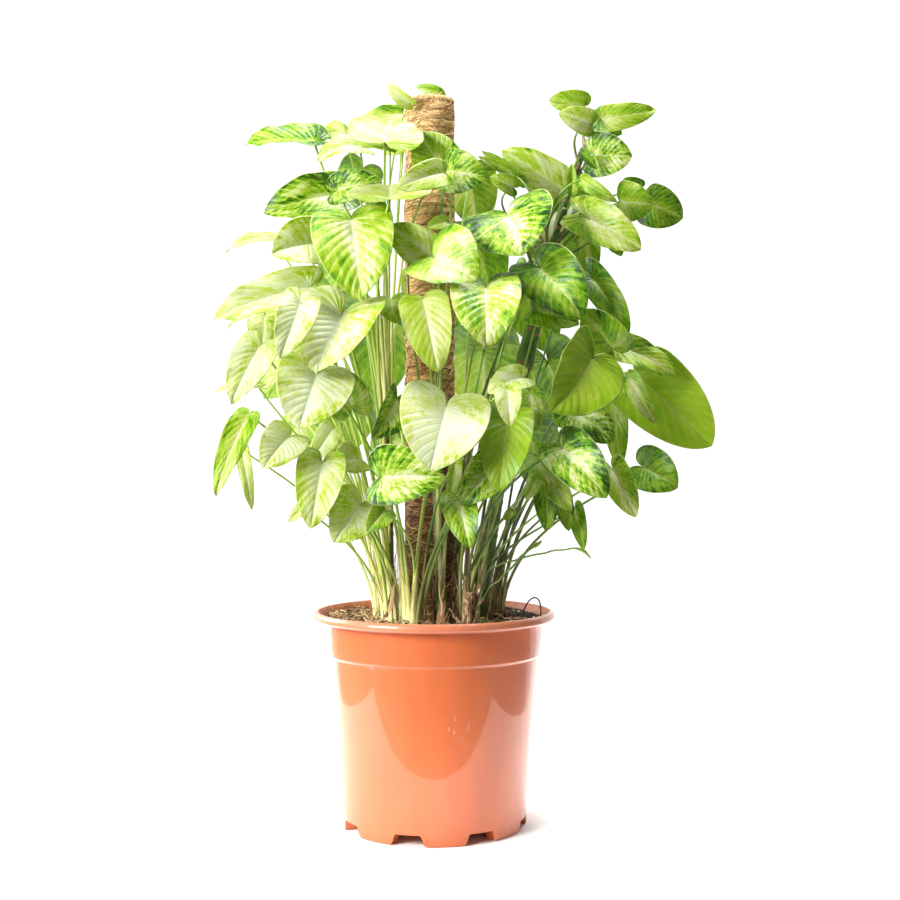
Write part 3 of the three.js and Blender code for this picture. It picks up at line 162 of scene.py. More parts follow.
# One row for each leaf, the most prominent first: the drawn place (x, z) where its petiole meets
# the blade, the drawn place of its tip, the blade's width, the depth of the petiole end and how
# much deeper the tip lies, the turn of its face about the midrib and the fold of its halves in
# degrees, the bow of the midrib and the reach of the basal lobes as shares of its length, and the
# letters of the stem that bears it and of its tone.
# the tone letters are partly painted light: darker for blades in shade, paler for those lit from
# the left
LEAVES = [
    (12, 413, -4, 349, 92, -125, -42, 0, 12, 0.1, 0.52, "dW"),
    (-51, 343, 12, 343, 62, -125, -22, 8, 22, 0.1, 0.3, "dV"),
    (-83, 600, -72, 522, 84, -75, -35, 0, 10, 0.08, 0.24, "cY"),
    (-117, 446, -135, 392, 80, -118, -32, 0, 10, 0.1, 0.38, "aW"),
    (-93, 504, -117, 448, 92, -95, -30, -24, 20, 0.08, 0.6, "bW"),
    (-126, 533, -221, 502, 44, -60, -26, -28, 24, 0.06, 0.22, "bC"),
    (74, 604, 89, 566, 96, -66, -40, 0, 8, 0.06, 0.55, "gV"),
    (203, 445, 278, 374, 78, 0, -10, 6, 10, 0.05, 0.16, "hP"),
    (52, 531, 52, 473, 72, -105, -32, 0, 16, 0.1, 0.45, "eY"),
    (1, 562, 42, 539, 76, -72, -26, 24, 22, 0.08, 0.3, "eY"),
    (0, 563, -46, 594, 42, -66, -4, 0, 12, 0.1, 0.15, "eY"),
    (107, 551, 149, 502, 64, -62, -24, 10, 12, 0.12, 0.45, "fM"),
    (129, 372, 173, 323, 54, -100, -26, 8, 14, 0.1, 0.3, "fV"),
    (158, 462, 117, 408, 78, -85, -28, 24, 22, 0.06, 0.25, "fP"),
    (74, 402, 65, 329, 54, -120, -30, 0, 12, 0.08, 0.25, "dP"),
    (-11, 521, 4, 448, 52, -98, -20, 0, 8, 0.08, 0.12, "eS"),
    (9, 649, -14, 687, 52, -42, -6, 0, 14, 0.08, 0.2, "eG"),
    (13, 649, 53, 643, 46, -43, -14, 6, 12, 0.12, 0.2, "eV"),
    (10, 647, -37, 632, 32, -44, -20, -16, 14, 0.12, 0.15, "eY"),
    (156, 601, 207, 571, 44, -45, -18, 10, 14, 0.1, 0.58, "gY"),
    (160, 665, 198, 663, 46, -25, -14, 6, 12, 0.1, 0.3, "lV"),
    (132, 626, 68, 670, 44, -30, -10, -10, 14, 0.1, 0.15, "gY"),
    (132, 619, 97, 580, 46, -24, -12, 0, 10, 0.1, 0.15, "gW"),
    (160, 540, 195, 487, 32, -40, -14, 8, 14, 0.1, 0.45, "gM"),
    (-121, 576, -162, 567, 54, -44, -26, -22, 20, 0.08, 0.45, "bC"),
    (-101, 625, -170, 607, 48, -30, -20, -20, 20, 0.08, 0.38, "cV"),
    (-112, 357, -123, 292, 50, -105, -30, 0, 16, 0.1, 0.28, "aC"),
    (-74, 315, -100, 278, 54, -112, -26, 0, 16, 0.1, 0.35, "aC"),
    (-185, 406, -219, 325, 29, -70, -26, -16, 16, 0.1, 0.08, "aY"),
    (-174, 474, -203, 417, 42, -78, -26, -10, 16, 0.1, 0.25, "aW"),
    (-145, 383, -171, 352, 46, -95, -26, -10, 16, 0.12, 0.4, "aW"),
    (-169, 503, -173, 465, 36, -76, -22, 0, 18, 0.1, 0.3, "bY"),
    (-134, 515, -154, 462, 40, -86, -24, 0, 20, 0.1, 0.35, "bW"),
    (60, 354, 27, 316, 44, -108, -22, 0, 22, 0.1, 0.3, "dV"),
    (24, 320, 36, 272, 36, -112, -26, 0, 14, 0.1, 0.35, "dG"),
    (-77, 362, -101, 352, 38, -104, -22, -16, 14, 0.12, 0.45, "aC"),
    (-83, 414, -92, 451, 44, -112, -18, 0, 16, 0.1, 0.45, "aY"),
    (-38, 420, -62, 382, 38, -88, -18, 26, 30, 0.1, 0.3, "dV"),
    (-102, 390, -122, 360, 26, -58, -12, 0, 12, 0.1, 0.2, "aW"),
    (-43, 520, -38, 497, 34, -60, -12, 0, 14, 0.1, 0.3, "cG"),
    (-50, 308, -67, 289, 26, -104, -14, 0, 18, 0.1, 0.35, "dG"),
    (21, 356, 12, 312, 16, -92, -12, 20, 20, 0.08, 0.2, "dY"),
    (-120, 679, -188, 677, 44, -12, -8, -62, 20, 0.03, 0.25, "cM"),
    (-88, 684, -114, 682, 30, 20, 0, -50, 12, 0.22, 0.2, "cG"),
    (-74, 673, -117, 660, 28, -28, -12, -45, 14, 0.16, 0.3, "cC"),
    (-32, 706, -73, 700, 20, 34, 0, -30, 18, 0.08, 0.2, "cG"),
    (-49, 678, -46, 701, 78, -32, 46, 0, 6, 0.05, 0.2, "cS"),
    (-30, 681, -50, 667, 26, 6, 0, -10, 16, 0.1, 0.3, "cY"),
    (-44, 674, -82, 677, 18, -2, 0, -40, 10, 0.08, 0.2, "cG"),
    (-24, 717, -46, 739, 15, -8, 0, 20, 30, 0.16, 0.2, "cR"),
    (6, 724, -18, 733, 15, 42, 0, -30, 20, 0.1, 0.2, "cM"),
    (-96, 630, -52, 638, 34, -6, -6, 20, 16, 0.1, 0.3, "cV"),
    (-44, 621, -45, 635, 88, -62, 40, 0, 6, 0.05, 0.15, "cS"),
    (-161, 581, -208, 569, 18, -8, 0, -50, 18, 0.12, 0.2, "cC"),
    (-160, 502, -209, 489, 16, -24, -6, -62, 20, 0.22, 0.1, "bY"),
    (-144, 521, -183, 509, 20, -38, -8, -30, 18, 0.1, 0.25, "bY"),
    (-176, 434, -220, 427, 14, -36, -6, -50, 20, 0.1, 0.2, "bC"),
    (-192, 370, -182, 310, 15, -56, -8, 0, 20, 0.1, 0.2, "bC"),
    (12, 598, -7, 592, 16, -50, -6, -20, 16, 0.1, 0.2, "eG"),
    (-130, 312, -145, 298, 14, -70, -4, -20, 16, 0.1, 0.2, "aC"),
    (86, 640, 48, 669, 13, -8, -4, -10, 30, 0.06, 0.2, "gG"),
    (82, 643, 44, 664, 11, -12, -6, -10, 30, 0.06, 0.2, "gG"),
    (79, 633, 56, 643, 20, -38, -8, -10, 16, 0.1, 0.3, "gG"),
    (150, 714, 115, 720, 28, -6, -6, -10, 16, 0.12, 0.2, "lG"),
    (156, 696, 125, 707, 28, -18, -8, -10, 14, 0.1, 0.2, "lY"),
    (166, 700, 222, 710, 28, 8, -4, 0, 12, 0.1, 0.1, "lG"),
    (158, 696, 188, 686, 26, -6, -4, 20, 30, 0.1, 0.3, "lD"),
    (147, 640, 183, 618, 16, -42, -8, 0, 18, 0.2, 0.1, "gG"),
    (138, 627, 138, 657, 11, -38, -4, 0, 44, 0.05, 0.1, "gG"),
    (148, 668, 163, 651, 10, -34, -2, 0, 40, 0.05, 0.1, "lD"),
    (186, 619, 220, 615, 42, -14, -10, 0, 14, 0.12, 0.15, "gG"),
    (207, 633, 189, 641, 15, 14, 0, 0, 14, 0.1, 0.15, "gD"),
    (214, 617, 249, 602, 44, 20, -6, 0, 14, 0.1, 0.2, "gM"),
    (172, 588, 188, 564, 20, -22, -6, 10, 18, 0.1, 0.2, "gM"),
    (83, 536, 74, 505, 18, -72, -8, 0, 18, 0.1, 0.2, "fM"),
    (93, 556, 90, 518, 22, -56, -8, 0, 18, 0.1, 0.2, "fG"),
    (104, 509, 145, 496, 36, -72, -14, 16, 16, 0.1, 0.3, "fM"),
    (154, 586, 158, 540, 24, 8, -4, 0, 16, 0.1, 0.2, "hG"),
    (178, 472, 150, 511, 46, -60, -10, 0, 18, 0.12, 0.3, "hG"),
    (179, 475, 241, 446, 34, -34, -10, 26, 12, 0.1, 0.15, "hG"),
    (194, 442, 222, 396, 22, -22, -8, 0, 16, 0.08, 0.15, "hY"),
    (140, 408, 180, 379, 46, -84, -18, 12, 16, 0.1, 0.35, "hV"),
    (178, 428, 186, 352, 28, 12, -4, 0, 16, 0.1, 0.2, "hG"),
    (179, 350, 202, 303, 32, -56, -14, 0, 16, 0.1, 0.3, "hY"),
    (209, 353, 244, 333, 48, -24, -20, 8, 14, 0.12, 0.45, "hM"),
    (87, 442, 54, 427, 32, -94, -12, -24, 16, 0.1, 0.35, "fC"),
    (74, 430, 76, 394, 28, -106, -12, 0, 18, 0.1, 0.3, "dC"),
    (96, 425, 102, 389, 28, -96, -12, 0, 18, 0.1, 0.3, "fY"),
    (98, 427, 97, 450, 9, -84, -2, 0, 44, 0.05, 0.1, "fG"),
    (104, 361, 137, 309, 32, -92, -20, 0, 20, 0.1, 0.3, "fG"),
    (113, 342, 113, 289, 30, -82, -14, 0, 18, 0.1, 0.3, "fD"),
    (128, 325, 135, 289, 20, -66, -10, 0, 20, 0.1, 0.25, "fM"),
    (141, 312, 150, 270, 18, -72, -12, 0, 20, 0.1, 0.2, "fM"),
    (102, 340, 92, 320, 16, -96, -6, 0, 18, 0.1, 0.25, "fY"),
    (78, 309, 69, 300, 10, -92, -4, 0, 18, 0.1, 0.25, "fG"),
    (-104, 520, -134, 468, 60, 95, 34, 180, 12, 0.1, 0.35, "kM"),
    (-82, 590, -100, 524, 66, 112, 36, 180, 12, 0.1, 0.35, "kM"),
    (-138, 475, -170, 422, 54, 72, 20, 170, 14, 0.1, 0.3, "kY"),
    (-52, 498, -56, 418, 74, 135, 44, 180, 12, 0.1, 0.4, "jM"),
    (-2, 534, 6, 458, 64, 122, 44, 180, 12, 0.1, 0.4, "jG"),
    (42, 584, 60, 520, 60, 104, 34, 180, 12, 0.1, 0.35, "iM"),
    (90, 530, 118, 468, 60, 108, 36, 180, 12, 0.1, 0.35, "iM"),
    (118, 582, 150, 516, 58, 72, 20, 190, 14, 0.1, 0.3, "iM"),
    (50, 470, 52, 390, 74, 142, 44, 180, 12, 0.1, 0.4, "iG"),
    (114, 458, 146, 384, 64, 118, 38, 180, 12, 0.1, 0.35, "iM"),
    (156, 428, 190, 376, 50, 76, 22, 190, 14, 0.1, 0.3, "hM"),
    (-82, 416, -104, 358, 60, 118, 36, 180, 12, 0.1, 0.35, "kM"),
    (-128, 402, -158, 360, 48, 84, 22, 170, 14, 0.1, 0.3, "kY"),
    (-32, 380, -38, 316, 64, 124, 46, 180, 12, 0.1, 0.4, "jM"),
    (18, 350, 28, 294, 54, 110, 40, 180, 12, 0.1, 0.35, "jD"),
    (94, 392, 118, 320, 58, 96, 30, 180, 14, 0.1, 0.3, "iM"),
    (-72, 650, -90, 612, 46, 58, 16, 180, 14, 0.1, 0.3, "cM"),
    (132, 634, 156, 596, 44, 52, 14, 180, 14, 0.1, 0.3, "gM"),
    (36, 644, 44, 592, 54, 62, 18, 180, 14, 0.1, 0.3, "jG"),
]

# Thin runners and aerial roots: the stem they grow from, their radius and their drawn points.
RUNNERS = [
    ("f", 1.4, [(56, 232, -62), (76, 250, -70), (88, 265, -72), (109, 280, -66)]),
    ("f", 1.1, [(54, 250, -60), (69, 257, -78), (106, 267, -84), (146, 273, -80), (158, 260, -78)]),
]
STUMP_FOOT, STUMP_TOP, STUMP_RADIUS = (30, -74, SOIL_TOP - 16), (35, -76, 236), 4.2

# The tones of the blades, from the palest to the darkest pattern: where the middle of a blade lies
# on the ramp from cream (0) to the darkest green (1), and how far its pattern strays from there. A
# blade's tone is partly its own variegation and partly painted light: blades in shade at the back
# and to the right have darker tones, and those lit from the left paler ones.
TONES = {
    "R": (0.32, 0.45), "W": (0.13, 0.62), "C": (0.26, 0.62), "S": (0.38, 0.30), "Y": (0.40, 0.62),
    "V": (0.56, 1.05), "G": (0.52, 0.55), "P": (0.56, 0.16), "M": (0.66, 0.60), "D": (0.80, 0.50),
}
TONE_PLACE = {tone: k / (len(TONES) - 1) for k, tone in enumerate(TONES)}


# ------------------------------------------------------------------ meshes

class Skin:
    """Points, faces, UVs and finishes gathered for one mesh."""

    def __init__(self):
        self.points, self.faces, self.uv, self.kind, self.slots = [], [], [], [], []
        self.count = 0

    def add(self, points, faces, uv, kind, slot):
        """Adds points (n, 3) and faces (m, k) that index them, with a UV for each face corner."""
        self.points.append(points.reshape(-1, 3))
        self.faces += (faces + self.count).tolist()
        self.uv.append(uv.reshape(-1, 2))
        self.kind.append(np.broadcast_to(kind, (faces.size, 2)))
        self.slots += [slot] * len(faces)
        self.count += points.size // 3

    def grid(self, points, along=None, across=None, slot=0, kind=(0.5, 0.5), wrap=False,
             flip=False):
        """A surface of two parameters: points (rows, columns, 3), with `along` the first
        parameter of each row and `across` the second of each column, which has one value more
        where the columns close on themselves. Either is an even share from 0 to 1 if not given."""
        rows, columns = points.shape[:2]
        index = np.arange(rows * columns).reshape(rows, columns)
        if wrap:
            index = np.concatenate([index, index[:, :1]], 1)
        along = np.linspace(0, 1, rows) if along is None else along
        across = np.linspace(0, 1, columns + wrap) if across is None else across
        uv = np.stack(np.broadcast_arrays(along[:, None], across[None, :]), -1)
        first, last = slice(None, -1), slice(1, None)
        corners = [(first, first), (first, last), (last, last), (last, first)]
        if flip:
            corners = corners[::-1]
        faces = np.stack([index[c] for c in corners], -1).reshape(-1, 4)
        self.add(points, faces, np.stack([uv[c] for c in corners], -2), kind, slot)

    def tubes(self, paths, radii, sides, side, slot=0, kind=(0.5, 0.5), flat=1.0, per=None):
        """Tubes along paths (n, m, 3): round each point stands a ring of `sides` points, at right
        angles to the path, of radius (n, m), which is multiplied by `flat` along `side`. Both ends
        are closed. The first texture coordinate is the share of the length, or the length in
        units of `per`."""
        paths = paths if paths.ndim == 3 else paths[None]
        n, m = paths.shape[:2]
        radii = np.broadcast_to(radii, (n, m))[..., None, None]
        flat = np.broadcast_to(flat, (n, m))[..., None, None]
        tangent = unit(np.gradient(paths, axis=1))
        across = unit(side - tangent * (tangent * side).sum(-1, keepdims=True))
        angle = 2 * np.pi * np.arange(sides) / sides
        ring = (np.cos(angle)[:, None] * across[..., None, :] * flat
                + np.sin(angle)[:, None] * np.cross(tangent, across)[..., None, :])
        points = paths[..., None, :] + radii * ring
        steps = np.linalg.norm(np.diff(paths, axis=1), axis=-1)
        length = np.concatenate([np.zeros((n, 1)), np.cumsum(steps, 1)], 1)
        length /= per or length[:, -1:]
        kinds = np.broadcast_to(kind, (n, 2))
        for k in range(n):
            self.grid(points[k], length[k], None, slot, kinds[k], wrap=True)
            ends = np.stack([np.arange(sides)[::-1], np.arange(sides) + (m - 1) * sides])
            self.faces += (ends + self.count - m * sides).tolist()
            self.uv.append(np.repeat([[length[k, 0], 0.5], [length[k, -1], 0.5]], sides, 0))
            self.kind.append(np.broadcast_to(kinds[k], (2 * sides, 2)))
            self.slots += [slot, slot]

    def mesh(self, name, finishes=()):
        """The mesh itself, in the frame."""
        mesh = bpy.data.meshes.new(name)
        mesh.from_pydata(np.concatenate(self.points) * MM + AXIS, [], self.faces)
        for layer, values in (("UVMap", self.uv), ("kind", self.kind)):
            mesh.uv_layers.new(name=layer)
            flat = np.concatenate(values).astype(np.float32).ravel()
            mesh.uv_layers[layer].data.foreach_set("uv", flat)
        for material in finishes:
            mesh.materials.append(material)
        mesh.polygons.foreach_set("material_index", self.slots)
        weld(mesh)
        mesh.polygons.foreach_set("use_smooth", [True] * len(mesh.polygons))
        mesh.update()
        return mesh

    def build(self, name, finishes, slot, *replaced, sharp=180):
        """Makes the piece, attaches it to the root and hides the solids that it replaces; `slot` is
        not used, and edges over `sharp` degrees stay sharp.
        """
        mesh = self.mesh(name, finishes)
        mesh.set_sharp_from_angle(angle=math.radians(sharp))
        piece = placed(name, mesh)
        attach(piece, "root")
        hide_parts(*replaced)
        return piece


def placed(name, data):
    """A new object with this mesh, lamp or camera, in the scene."""
    thing = bpy.data.objects.new(name, data)
    bpy.context.scene.collection.objects.link(thing)
    return thing


WELD, SLIVER = 0.002, 0.001      # points this near become one, and edges this short go


def weld(mesh):
    """Closes seams and poles: joins points at one place, and drops faces that have no area."""
    work = bmesh.new()
    work.from_mesh(mesh)
    bmesh.ops.remove_doubles(work, verts=work.verts, dist=WELD * MM)
    bmesh.ops.dissolve_degenerate(work, edges=work.edges, dist=SLIVER * MM)
    work.to_mesh(mesh)
    work.free()


def unit(vectors):
    """The same directions, of length 1."""
    return vectors / np.linalg.norm(vectors, axis=-1, keepdims=True)


def rise(x, low, high):
    """0 below `low`, 1 above `high`, and a smooth rise between them."""
    t = np.clip((x - low) / (high - low), 0, 1)
    return t * t * (3 - 2 * t)


def hump(x, middle, width):
    """A bell curve of height 1."""
    return np.exp(-((x - middle) / width) ** 2)


def rough(points, size, seed, count=18):
    """An even, smooth roughness of about -1 to 1: the sum of plane waves with random directions
    and phases, each about `size` long."""
    rng = np.random.default_rng(seed)
    wave = unit(rng.normal(size=(count, points.shape[-1])))
    wave *= (2 * np.pi / (size * rng.uniform(0.7, 1.5, count)))[:, None]
    phase = rng.uniform(0, 2 * np.pi, count)
    return np.sin(points @ wave.T + phase).sum(-1) / math.sqrt(count)


def layered(points, layers):
    """The sum of layers of roughness, each with its height, size, seed and perhaps its waves."""
    return sum(height * rough(points, *layer) for height, *layer in layers)


def kinks(path, size, rng):
    """A roughness for each of the three directions."""
    return np.stack([rough(path, size, seed) for seed in rng.integers(1000, size=3)], -1)


def circle(count):
    """Angles evenly round a circle."""
    return np.linspace(0, 2 * np.pi, count, endpoint=False)


def around(radius, angle, z=0, centre=(0, 0)):
    """Points at this radius, angle and height about the upright line through `centre`."""
    return np.stack(np.broadcast_arrays(centre[0] + radius * np.cos(angle),
                                        centre[1] + radius * np.sin(angle), z), -1)


def smoothed(corners, reach, count=None, step=1):
    """A line of even steps through `corners`, each of its points then the mean of those within
    `reach` of it, weighted by a raised cosine; and how far along it each point lies."""
    steps = np.linalg.norm(np.diff(corners, axis=0), axis=1)
    place = np.concatenate([[0], np.cumsum(steps)])
    at = np.linspace(0, place[-1], count or int(place[-1] / step))
    line = np.stack([np.interp(at, place, corners[:, k]) for k in range(3)], -1)
    padded = np.concatenate([np.repeat(line[:1], reach, 0), line, np.repeat(line[-1:], reach, 0)])
    kernel = np.hanning(2 * reach + 1) / np.hanning(2 * reach + 1).sum()
    return np.stack([np.convolve(padded[:, k], kernel, "valid") for k in range(3)], -1), at


# ------------------------------------------------------------------ where the leaves go

def sight(x, z, y):
    """A drawn place carried along the line of sight to the depth y."""
    scale = (y - EYE[1]) / (DRAWN_Y - EYE[1])
    return np.array([EYE[0] + (x - EYE[0]) * scale, y, EYE[2] + (z - EYE[2]) * scale])


def cubic(points, t):
    """The cubic Bezier curve with these four control points, at parameters t."""
    s = 1 - t[..., None]
    a, b, c, d = np.asarray(points, float)
    t = t[..., None]
    return a * s**3 + 3 * b * t * s * s + 3 * c * t * t * s + d * t**3


def past_lobe(s):
    """How far outline share s lies from the lobe (0) to the tip (1)."""
    return np.clip((s - LOBE_SHARE) / (1 - LOBE_SHARE), 0, 1)


def outline(s, lobe):
    """Half of a blade's outline, as shares of its length and of half its width: a cubic curve from
    the petiole round the basal lobe (s from 0 to LOBE_SHARE), and one on to the tip (s = 1)."""
    low = cubic([(0, 0), (-1.35 * lobe, 0.05), (-1.3 * lobe, 1.05), SHOULDER],
                np.clip(s / LOBE_SHARE, 0, 1))
    high = cubic([SHOULDER, (0.58, 1.02), (0.92, 0.56), (1, 0)], past_lobe(s))
    return np.where((s < LOBE_SHARE)[..., None], low, high)


class Leaf:
    """One leaf: how it is drawn, and its blade and petiole in space."""

    def __init__(self, row):
        (self.x, self.z, self.tip_x, self.tip_z, self.width, self.wanted, self.deeper, self.turn,
         self.fold, self.bow, self.lobe, (self.stem, self.tone)) = row
        self.set_depth(self.wanted)

    def set_depth(self, depth):
        """Sets the blade's frame: its base, length, and directions along, across and out."""
        self.base = sight(self.x, self.z, depth)
        span = sight(self.tip_x, self.tip_z, depth + self.deeper) - self.base
        self.length = np.linalg.norm(span)
        self.along = span / self.length
        view = unit(EYE - self.base)
        front = unit(view - self.along * (view @ self.along))
        turn = math.radians(self.turn)
        self.face = front * math.cos(turn) + np.cross(front, self.along) * math.sin(turn)
        self.across = np.cross(self.face, self.along)
        self.half = self.width / 2 * (depth - EYE[1]) / (DRAWN_Y - EYE[1])
        self.slope = math.tan(math.radians(self.fold))

    def spread(self, s, v):
        """Shares of the length and of half the width, at outline share s and a share |v| of the
        way to the margin from where the side vein that ends there leaves the midrib."""
        edge = outline(s, self.lobe)
        root = past_lobe(s) ** VEIN_CROWDING
        return root + np.abs(v) * (edge[..., 0] - root), np.abs(v) * edge[..., 1]

    def at(self, s, v, lift=0.0, half=None):
        """The blade's middle surface: flat along its side veins, bowed along the midrib, and
        folded up to both sides of it; `lift` raises it further."""
        half = half or self.half
        u, q = self.spread(s, v)
        height = self.bow * self.length * 4 * u * (1 - u) + self.slope * q * self.half + lift
        return (self.base + (u * self.length)[..., None] * self.along
                + (np.sign(v) * q * half)[..., None] * self.across
                + height[..., None] * self.face)

    def grade(self):
        """0 for a small blade, 1 for a middling one and 2 for a large one."""
        area = self.length * self.width
        return int(area > MIDDLING_BLADE) + int(area > LARGE_BLADE)

    def samples(self, rows, across):
        """Points on the blade, but for the part of its lobes next to the petiole."""
        s, v = np.meshgrid(np.linspace(0.06, 1, rows), np.arange(-across, across + 1) / across,
                           indexing="ij")
        return self.at(s.ravel(), v.ravel())

    def root(self):
        """Where the petiole leaves the crown or cane of its stem."""
        _, crown, cane, reach = STEMS[self.stem]
        low = SOIL_TOP + ROOT_RISE
        if not cane:
            turn = np.array([math.cos(self.post), math.sin(self.post)])
            return np.array([*(crown + CROWN_RING * turn), low])
        line = np.array([(*crown, low), *cane], float)
        z = max(low, min(line[-1, 2], self.base[2] - reach))
        root = np.array([np.interp(z, line[:, 2], line[:, k]) for k in (0, 1, 2)])
        out = (self.base - root) * (1, 1, 0)
        return root + out * ROOT_OUT / max(np.linalg.norm(out), 1e-9)

    def petiole(self, aside, deeper, count):
        """A cubic curve up from the root, then over to the blade from below and behind it."""
        root = self.root()
        span = self.base - root
        reach = np.linalg.norm(span)
        out = span * (1, 1, 0)
        bend = np.array([aside, deeper, 0.0])
        first = root + out * PETIOLE_LEAN + bend * FIRST_SWING + UP * PETIOLE_RISE * reach
        second = (self.base - self.face * PETIOLE_BEHIND * reach - out * PETIOLE_OVER + bend
                  - UP * PETIOLE_DROP * reach)
        return cubic([root, first, second, self.base], np.linspace(0, 1, count))


def nearest(points, others):
    """The smallest gap between two sets of points."""
    gaps = ((points[:, None] - others[None]) ** 2).sum(-1)
    return math.sqrt(gaps.min()) if gaps.size else math.inf


def within(points, low, high):
    return points[((points > low) & (points < high)).all(1)]


def cane_lines():
    """Points along each cane, for what has to stay clear of it."""
    lines = []
    for stem, (_, crown, cane, _) in STEMS.items():
        if cane:
            corners = np.array([(*crown, SOIL_TOP), *cane], float)
            share = np.linspace(0, 1, CANE_POINTS)[:, None]
            lines.append((stem, np.concatenate([a + (b - a) * share
                                                for a, b in zip(corners, corners[1:])])))
    return lines


def from_pole(points):
    return np.hypot(points[:, 0] - POLE_X, points[:, 1])


def settle(leaves):
    """Moves each blade along its line of sight until it is clear of those before it, of the canes
    of other stems and of the pole."""
    placed_blades, canes = [], cane_lines()
    offsets = [0] + [k * way for k in range(SETTLE_STEP, SETTLE_MOST + 1, SETTLE_STEP)
                     for way in (1, -1)]
    for leaf in leaves:
        best = None
        for offset in offsets:
            leaf.set_depth(leaf.wanted + offset)
            points = leaf.samples(*SETTLE_GRID)
            if np.abs(points[:, 1]).max() > DEPTH_LIMIT:
                continue
            low = points[points[:, 2] < POLE_TOP + ABOVE_POLE]
            pole = from_pole(low).min(initial=FAR + POLE_RADIUS)
            near = [other for other in placed_blades
                    if (other.min(0) < points.max(0) + BLADE_CLEARANCE).all()
                    and (other.max(0) > points.min(0) - BLADE_CLEARANCE).all()]
            gaps = [FAR] + [nearest(points, other) for other in near]
            gaps += [nearest(points, line) - CANE_MARGIN for stem, line in canes
                     if stem != leaf.stem]
            score = min(min(gaps) - BLADE_CLEARANCE, pole - POLE_RADIUS - POLE_BLADE_GAP)
            if best is None or score > best[0] + BETTER:
                best = (score, offset)
            if score >= 0:
                break
        leaf.set_depth(leaf.wanted + best[1])
        placed_blades.append(leaf.samples(*SETTLE_GRID))


def place_roots(leaves):
    """Stands the petioles of each crown in a ring, in the order of their blades' bearings."""
    for stem, (_, crown, cane, _) in STEMS.items():
        if cane:
            continue
        own = [leaf for leaf in leaves if leaf.stem == stem]
        bearing = np.array([math.atan2(leaf.base[1] - crown[1], leaf.base[0] - crown[0])
                            for leaf in own])
        mean = math.atan2(np.sin(bearing).sum(), np.cos(bearing).sum())
        order = np.argsort((bearing - mean + 3 * np.pi) % (2 * np.pi), kind="stable")
        spacing = math.radians(min(CROWN_SPACING, CROWN_SPAN / len(own)))
        for k, which in enumerate(order):
            own[which].post = mean + (k - (len(own) - 1) / 2) * spacing


def route(leaves):
    """Gives each petiole the smallest swing that keeps it clear of blades, pole and other stems."""
    ways = [(a * SWING_STRAIGHT, b * SWING_STRAIGHT) for a, b in ((0, 1), (0, -1), (1, 0), (-1, 0))]
    ways += [(a * SWING_ASLANT, b * SWING_ASLANT) for a in (1, -1) for b in (1, -1)]
    lines = cane_lines()
    blades = [leaf.samples(*ROUTE_GRID) for leaf in leaves]
    for own, leaf in enumerate(leaves):
        best = None
        for ring in range(SWINGS + 1):
            for way in ways if ring else [(0, 0)]:
                line = leaf.petiole(way[0] * ring, way[1] * ring, ROUTE_POINTS)
                body = line[ROUTE_BODY]
                low, high = body.min(0) - PETIOLE_CLEARANCE, body.max(0) + PETIOLE_CLEARANCE
                cost = SWING_COST * ring
                for j, points in enumerate(blades):
                    near = within(points, low, high)
                    if len(near):
                        gap = nearest(body, near)
                        cost += (OWN_BLADE_COST * max(0, OWN_BLADE_GAP - gap) if j == own
                                 else max(0, PETIOLE_CLEARANCE - gap))
                pole = from_pole(line).min() - POLE_RADIUS
                cost += max(0, POLE_PETIOLE_GAP - pole)
                for stem, other in lines:
                    near = within(other, low, high) if stem != leaf.stem else []
                    if len(near):
                        cost += max(0, STEM_GAP - nearest(body, near))
                if best is None or cost < best[0] - BETTER:
                    best = (cost, way[0] * ring, way[1] * ring, line)
            if best[0] < GOOD_ROUTE:
                break
        leaf.swing = best[1:3]
        lines.append((leaf.stem, best[3]))


# ------------------------------------------------------------------ leafy stems

LEAF_TOP, LEAF_UNDER, PETIOLE, CANE, CROWN, DRY = range(6)      # the finishes of a leafy stem
ROWS = (34, 58, 84)        # rows of faces from the lobe to the tip, by the blade's grade
COLUMNS = (                # shares of the way to the margin where the columns of faces run
    (0, 0.05, 0.2, 0.5, 0.8, 0.94, 1),
    (0, 0.04, 0.11, 0.26, 0.46, 0.68, 0.87, 0.96, 1),
    (0, 0.03, 0.08, 0.17, 0.3, 0.45, 0.61, 0.77, 0.9, 0.97, 1),
)
FULL_BLADE = 80            # a blade of this length and width has the full swellings and midrib
QUILT = 1.5                # height of the swellings between the side veins
WAVES = (1.6, 2.6)         # how many waves run along a margin
# Heights as shares of the length: the waves of the margin, the ripples on them, the twist of the
# whole blade, and the droop of its tip.
WAVE, RIPPLE, TWIST, DROOP = 0.022, 0.014, 0.03, 0.03
TRIED = (1, 0.5, -0.5, -1, 0.2)     # shares of these, until one leaves the blade in the box
BOX_MARGIN = 0.35
BLADE_END = 3              # how far from its base and tip a blade has its full thickness
GROOVE, GROOVE_WIDTH = 0.35, 1.1            # along the midrib on top
RIDGE, RIDGE_AT_TIP, RIDGE_WIDTH = 1.5, 0.3, 1.3      # and underneath
TONE_STRAY = 0.03


